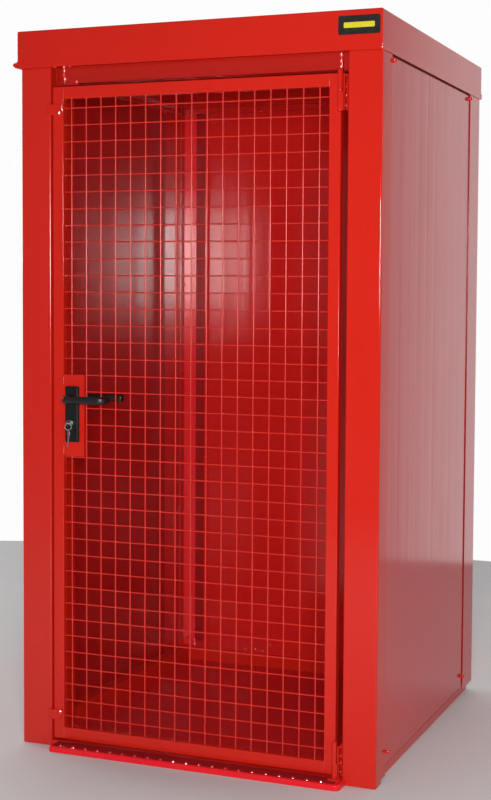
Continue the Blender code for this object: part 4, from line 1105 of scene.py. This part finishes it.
door_half("hinge_upper_door_half", HT_Z[1] + 0.0004, HT_Z[2], "hinge_top_door", 301)
door_half("hinge_lower_door_half", HB_Z[1] + 0.0004, HB_Z[2], "hinge_bottom_door", 302)
rings = [lathe([(0.0040, z - 0.00032), (0.0069, z - 0.00032), (0.0069, z + 0.00032), (0.0040, z + 0.00032)], (HINGE_X, HINGE_Y, 0), (0, 0, 1), 28)
         for z in (HT_Z[1], HB_Z[1])]
piece("hinge_washers", joined(*rings), STEEL, "cabin")


# ------------------------------------------------------------------ stop lugs with domed screws
def screw_dome(c, axis, r, h):
    return lathe([(r, -0.0004), (r, 0.0003), (r * 0.93, h * 0.38), (r * 0.72, h * 0.72), (r * 0.40, h * 0.94), (0.0, h)], c, axis, 24)


for name, zc, zs, node in (("stop_lug_high", 1.9395, 1.9296, "stop_lug_upper"), ("stop_lug_low", 0.1005, 0.1118, "stop_lug_lower")):
    y0, tt, s = DY0 - GAP, 0.0035, 0.0052
    ln = [(DOOR_X0 + 0.0260, y0 - tt / 2), (DOOR_X0 + 0.0070, y0 - tt / 2), (DOOR_X0 - 0.0002, y0 - tt / 2 - s), (DOOR_X0 - 0.0150, y0 - tt / 2 - s)]
    body = prism(folded(ln, tt, 0.0042, 5), 'Z', [zc - 0.0155, zc + 0.0155])
    piece(name, body, PAINT, "door", [node], bevel=0.0014, segs=3)
    dome = joined(screw_dome((-0.4369, y0 - tt, zs), (0, -1, 0), 0.0049, 0.0034),
                  lens((-0.4358, y0 - tt - 0.0038, zs), 0.0070, 0.0018, seed=int(zs * 100), long_z=1.2))
    if zc > 1.0:
        for dx, dz, w in ((0.0046, 0.0125, 0.0040), (0.0062, 0.0215, 0.0046), (0.0080, 0.0300, 0.0036), (0.0092, 0.0400, 0.0042)):
            dome = joined(dome, lens((-0.4362 + dx, DY0 - 0.0012, zs + dz), w, 0.0018, seed=int(dz * 9000), long_z=1.3))
    piece(name + "_screw", dome, PAINT_WELD, "door")

# ------------------------------------------------------------------ bolts of the walls, weld seams, spatter
bolts = []


def mushroom(c, axis, r=0.0072, h=0.0040):
    return lathe([(r, 0.0), (r, 0.0006), (r * 0.96, h * 0.35), (r * 0.80, h * 0.68), (r * 0.52, h * 0.90), (r * 0.22, h), (0.0, h)], c, axis, 24)


def coach_head(c, axis, r=0.0070, h=0.0125):
    """Tall domed head of a coach bolt on a thin washer."""
    return joined(lathe([(r + 0.0022, 0.0), (r + 0.0022, 0.0010), (r + 0.0012, 0.0014), (0.0, 0.0014)], c, axis, 28),
                  lathe([(r, 0.0008), (r, h * 0.42), (r * 0.95, h * 0.60), (r * 0.82, h * 0.78), (r * 0.60, h * 0.91), (r * 0.32, h * 0.98), (0.0, h)], c, axis, 28))


# the side wall bolts are in a brighter copy of the red coat: painted highlight
for s, name in ((-1, "left"), (1, "right")):
    b = []
    for y in (0.0880, 0.9760):
        for z in (0.0800, 2.0500):
            low = z < 1.0 and y < 0.5
            r, h = (0.0050, 0.0160) if low else (0.0068, 0.0132)
            b.append(coach_head((s * (WALL_OUT - 0.0002), y, z), (s, 0, 0), r, h))
            if s > 0:
                b.append(lens((s * (WALL_OUT + h * 0.50), y - r * 0.93, z + r * 0.30), r * 0.62, 0.0012, seed=int(y * 90 + z * 7) + 40, long_z=0.7))
            # the nut and washer inside
            b.append(lathe([(0.0062, 0.0), (0.0062, 0.0012), (0.0, 0.0012)], (s * (WALL_OUT - WALL_T), y, z), (-s, 0, 0), 20))
            b.append(lathe([(0.0047, 0.0), (0.0047, 0.0036), (0.0042, 0.0042), (0.0, 0.0042)], (s * (WALL_OUT - WALL_T - 0.0012), y, z), (-s, 0, 0), 6))
    piece("wall_bolts_" + name, joined(*b), PAINT_BOLT_LIT, "cabin")
b = []
for x in (-WX + 0.020, WX - 0.020):
    for z in (0.0800, 2.0500):
        b.append(mushroom((x, REAR_Y - 0.0032, z), (0, 1, 0)))
        b.append(lathe([(0.0062, 0.0), (0.0062, 0.0012), (0.0, 0.0012)], (x, REAR_Y - 0.0055, z), (0, -1, 0), 20))
for s in (-1, 1):
    for z in (0.0780, 2.0400):
        b.append(mushroom((s * 0.5300, REAR_Y - POST_T, z), (0, -1, 0), 0.0068, 0.0042))
piece("wall_bolts_rear", joined(*b), PAINT_WELD, "cabin")

# header's end welds, tacks under the fascia, feet of the posts
w = [bead((-0.4326, HEAD_Y0 + 0.001, HEAD_Z0 + 0.001), (-0.4326, HEAD_Y0 + 0.001, FASCIA_LOW + 0.012), 0.0026, 401),
     bead((0.4476, HEAD_Y0 + 0.001, HEAD_Z0 + 0.001), (0.4476, HEAD_Y0 + 0.001, FASCIA_LOW + 0.012), 0.0024, 402),
     bead((-IN_POST + 0.0014, HEAD_Y0 + 0.020, HEAD_Z0 + 0.001), (-IN_POST + 0.0014, HEAD_Y0 + 0.020, HEAD_Z1), 0.0020, 403),
     bead((IN_POST - 0.0014, HEAD_Y0 + 0.020, HEAD_Z0 + 0.001), (IN_POST - 0.0014, HEAD_Y0 + 0.020, HEAD_Z1), 0.0020, 404)]
for i, (x, z) in enumerate(((-0.4322, 2.0680), (-0.4316, 2.0575), (-0.4322, 2.0440), (-0.4290, 2.0320), (0.4446, 2.0600), (0.4450, 2.0420), (0.4446, 2.0270))):
    w.append(lens((x, HEAD_Y0 - 0.0016, z), 0.0054, 0.0015, seed=410 + i, long_z=1.3))
for i, (x, z, k) in enumerate(((-0.4480, 2.0660, 0.7), (-0.3970, 2.0655, 0.8), (-0.3890, 2.0225, 1.2))):
    w.append(lens((x, (ROOF_Y0 + ROOF_T + 0.0010) if z > 2.06 else HEAD_Y0 - 0.0012, z), 0.0048, 0.0012, seed=430 + i, long_z=k))
for s in (-1, 1):
    x = s * (IN_POST - 0.0010)
    w.append(bead((x, FRONT_Y + 0.015, SILL_Z + 0.0008), (x, SILL_BACK - 0.004, SILL_Z + 0.0008), 0.0022, 420 + s, up=(1, 0, 0)))
    w.append(blob((s * (IN_POST - 0.0030), SILL_BACK - 0.001, SILL_Z + 0.0010), 0.0045, (1.1, 0.7, 0.7), 430 + s, 0.3))
w.append(bead((SILL_X0 + 0.004, FRONT_Y - 0.0012, SILL_Z + 0.0002), (SILL_X0 + 0.050, FRONT_Y - 0.0012, SILL_Z + 0.0002), 0.0017, 440))
piece("cabin_welds", joined(*w), PAINT_WELD, "cabin", angle=60)

# weld and paint spatter low on the rear wall and in the corner
rnd = random.Random(77)
sp = []
for i in range(70):
    x = rnd.uniform(-0.42, 0.44)
    z = RAIL_H + 0.004 + abs(rnd.gauss(0.0, 0.030))
    d = min(abs((x - RIB_PITCH * q)) for q in range(-4, 5))
    depth = RIB_D if d < RIB_FLAT / 2 else 0.0
    if RIB_FLAT / 2 <= d < RIB_FLAT / 2 + RIB_SLOPE:
        continue
    sp.append(blob((x, REAR_Y - 0.003 - WALL_T - depth - 0.0006, z), rnd.uniform(0.0009, 0.0020), (1, 0.55, 1), i, 0.3))
for i in range(26):
    x = -0.43 + i * 0.0345 + rnd.uniform(-0.006, 0.006)
    z = 0.060 + rnd.uniform(-0.004, 0.010) + (0.018 if i % 5 == 2 else 0.0)
    sp.append(lens((x, REAR_Y - 0.003 - WALL_T - 0.0010, z), rnd.uniform(0.0030, 0.0052), 0.0011, seed=700 + i, long_z=0.8))
for x, z in ((-0.531, 0.074), (-0.505, 0.062), (-0.470, 0.066)):
    sp.append(blob((x, REAR_Y - POST_T - 0.0005, z), 0.0030, (1, 0.6, 1), int(-x * 1000), 0.3))
piece("weld_spatter", joined(*sp), PAINT_WELD, "cabin", angle=60)

# ------------------------------------------------------------------ camera at the photograph's station
yaw, pitch, roll = -0.37444, -0.05686, 0.00633
fwd = Vector((math.sin(yaw) * math.cos(pitch), math.cos(yaw) * math.cos(pitch), math.sin(pitch)))
rgt = Vector((math.cos(yaw), -math.sin(yaw), 0.0))
upv = rgt.cross(fwd)
r2 = rgt * math.cos(roll) + upv * math.sin(roll)
u2 = -rgt * math.sin(roll) + upv * math.cos(roll)
cam_data = bpy.data.cameras.new("camera")
cam = bpy.data.objects.new("camera", cam_data)
bpy.context.scene.collection.objects.link(cam)
cam.matrix_world = Matrix.Translation(Vector((1.76596, -3.88776, 1.41385)) + OFF) @ Matrix((
    (r2.x, u2.x, -fwd.x), (r2.y, u2.y, -fwd.y), (r2.z, u2.z, -fwd.z))).to_4x4()
cam_data.sensor_width = 36.0
cam_data.lens = 65.73
cam_data.shift_x = -0.0306
cam_data.shift_y = -0.0375
cam_data.clip_end = 200.0
cam_data.dof.use_dof = False
bpy.context.scene.camera = cam

# ------------------------------------------------------------------ pale floor, soft studio light
gm, nt, gb, tc = new_material("studio_floor")
nt.links.new(blend_rgb(nt, rng(nt, nz(nt, tc, 1.4, 4.0), 0.3, 0.7, 0.0, 1.0), (0.74, 0.74, 0.74), (0.78, 0.78, 0.78)), gb.inputs["Base Color"])
gb.inputs["Roughness"].default_value = 0.75
ground = bmesh.new()
bmesh.ops.create_circle(ground, cap_ends=True, radius=7.0, segments=128)
bmesh.ops.translate(ground, verts=ground.verts, vec=(0.0, -4.0, -0.0005))
gme = bpy.data.meshes.new("studio_floor")
ground.to_mesh(gme)
ground.free()
gob = bpy.data.objects.new("studio_floor", gme)
gme.materials.append(gm)
bpy.context.scene.collection.objects.link(gob)

world = bpy.data.worlds.new("studio")
bpy.context.scene.world = world
world.use_nodes = True
bg = world.node_tree.nodes["Background"]
bg.inputs["Color"].default_value = (1.0, 1.0, 1.0, 1.0)
# the studio is bright behind the cage and dimmer in front of it
wn = world.node_tree
wc = wn.nodes.new("ShaderNodeTexCoord")
ws = wn.nodes.new("ShaderNodeSeparateXYZ")
wn.links.new(wc.outputs["Generated"], ws.inputs["Vector"])
wm = wn.nodes.new("ShaderNodeMapRange")
wm.interpolation_type = 'SMOOTHSTEP'
wm.inputs["From Min"].default_value = -0.15
wm.inputs["From Max"].default_value = 0.75
wm.inputs["To Min"].default_value = 0.20
wm.inputs["To Max"].default_value = 0.98
wn.links.new(ws.outputs["Y"], wm.inputs["Value"])
wx = wn.nodes.new("ShaderNodeMapRange")
wx.interpolation_type = 'SMOOTHSTEP'
wx.inputs["From Min"].default_value = 0.250
wx.inputs["From Max"].default_value = 0.340
wx.inputs["To Min"].default_value = 1.0
wx.inputs["To Max"].default_value = 0.35
wd = wn.nodes.new("ShaderNodeMath")
wd.operation = 'DIVIDE'
wy = wn.nodes.new("ShaderNodeMath")
wy.operation = 'MAXIMUM'
wy.inputs[1].default_value = 0.05
wn.links.new(ws.outputs["Y"], wy.inputs[0])
wn.links.new(ws.outputs["X"], wd.inputs[0])
wn.links.new(wy.outputs["Value"], wd.inputs[1])
wn.links.new(wd.outputs["Value"], wx.inputs["Value"])
wp = wn.nodes.new("ShaderNodeMath")
wp.operation = 'MULTIPLY'
wn.links.new(wm.outputs["Result"], wp.inputs[0])
wn.links.new(wx.outputs["Result"], wp.inputs[1])
wn.links.new(wp.outputs["Value"], bg.inputs["Strength"])


def softbox(name, loc, target, w, h, power, colour=(1, 1, 1)):
    ld = bpy.data.lights.new(name, 'AREA')
    ld.shape = 'RECTANGLE'
    ld.size, ld.size_y = w, h
    ld.energy = power
    ld.color = colour
    o = bpy.data.objects.new(name, ld)
    bpy.context.scene.collection.objects.link(o)
    o.location = Vector(loc)
    o.rotation_mode = 'QUATERNION'
    o.rotation_quaternion = (Vector(target) - Vector(loc)).to_track_quat('-Z', 'Y')
    o.visible_camera = False
    return o


softbox("front_light", (1.7736, -4.4108, 1.61), (0.1, 0.0, 1.05), 0.60, 0.60, 146.0)
softbox("side_light", (5.2, 1.2, 2.3), (0.6, 0.2, 1.1), 1.6, 1.6, 32.0)
softbox("side_light_left", (-5.2, 1.2, 2.3), (-0.6, 0.2, 1.1), 1.6, 1.6, 60.0)

scene = bpy.context.scene
scene.view_settings.view_transform = 'Standard'
scene.view_settings.look = 'None'
scene.view_settings.exposure = 0.0
scene.view_settings.gamma = 1.0
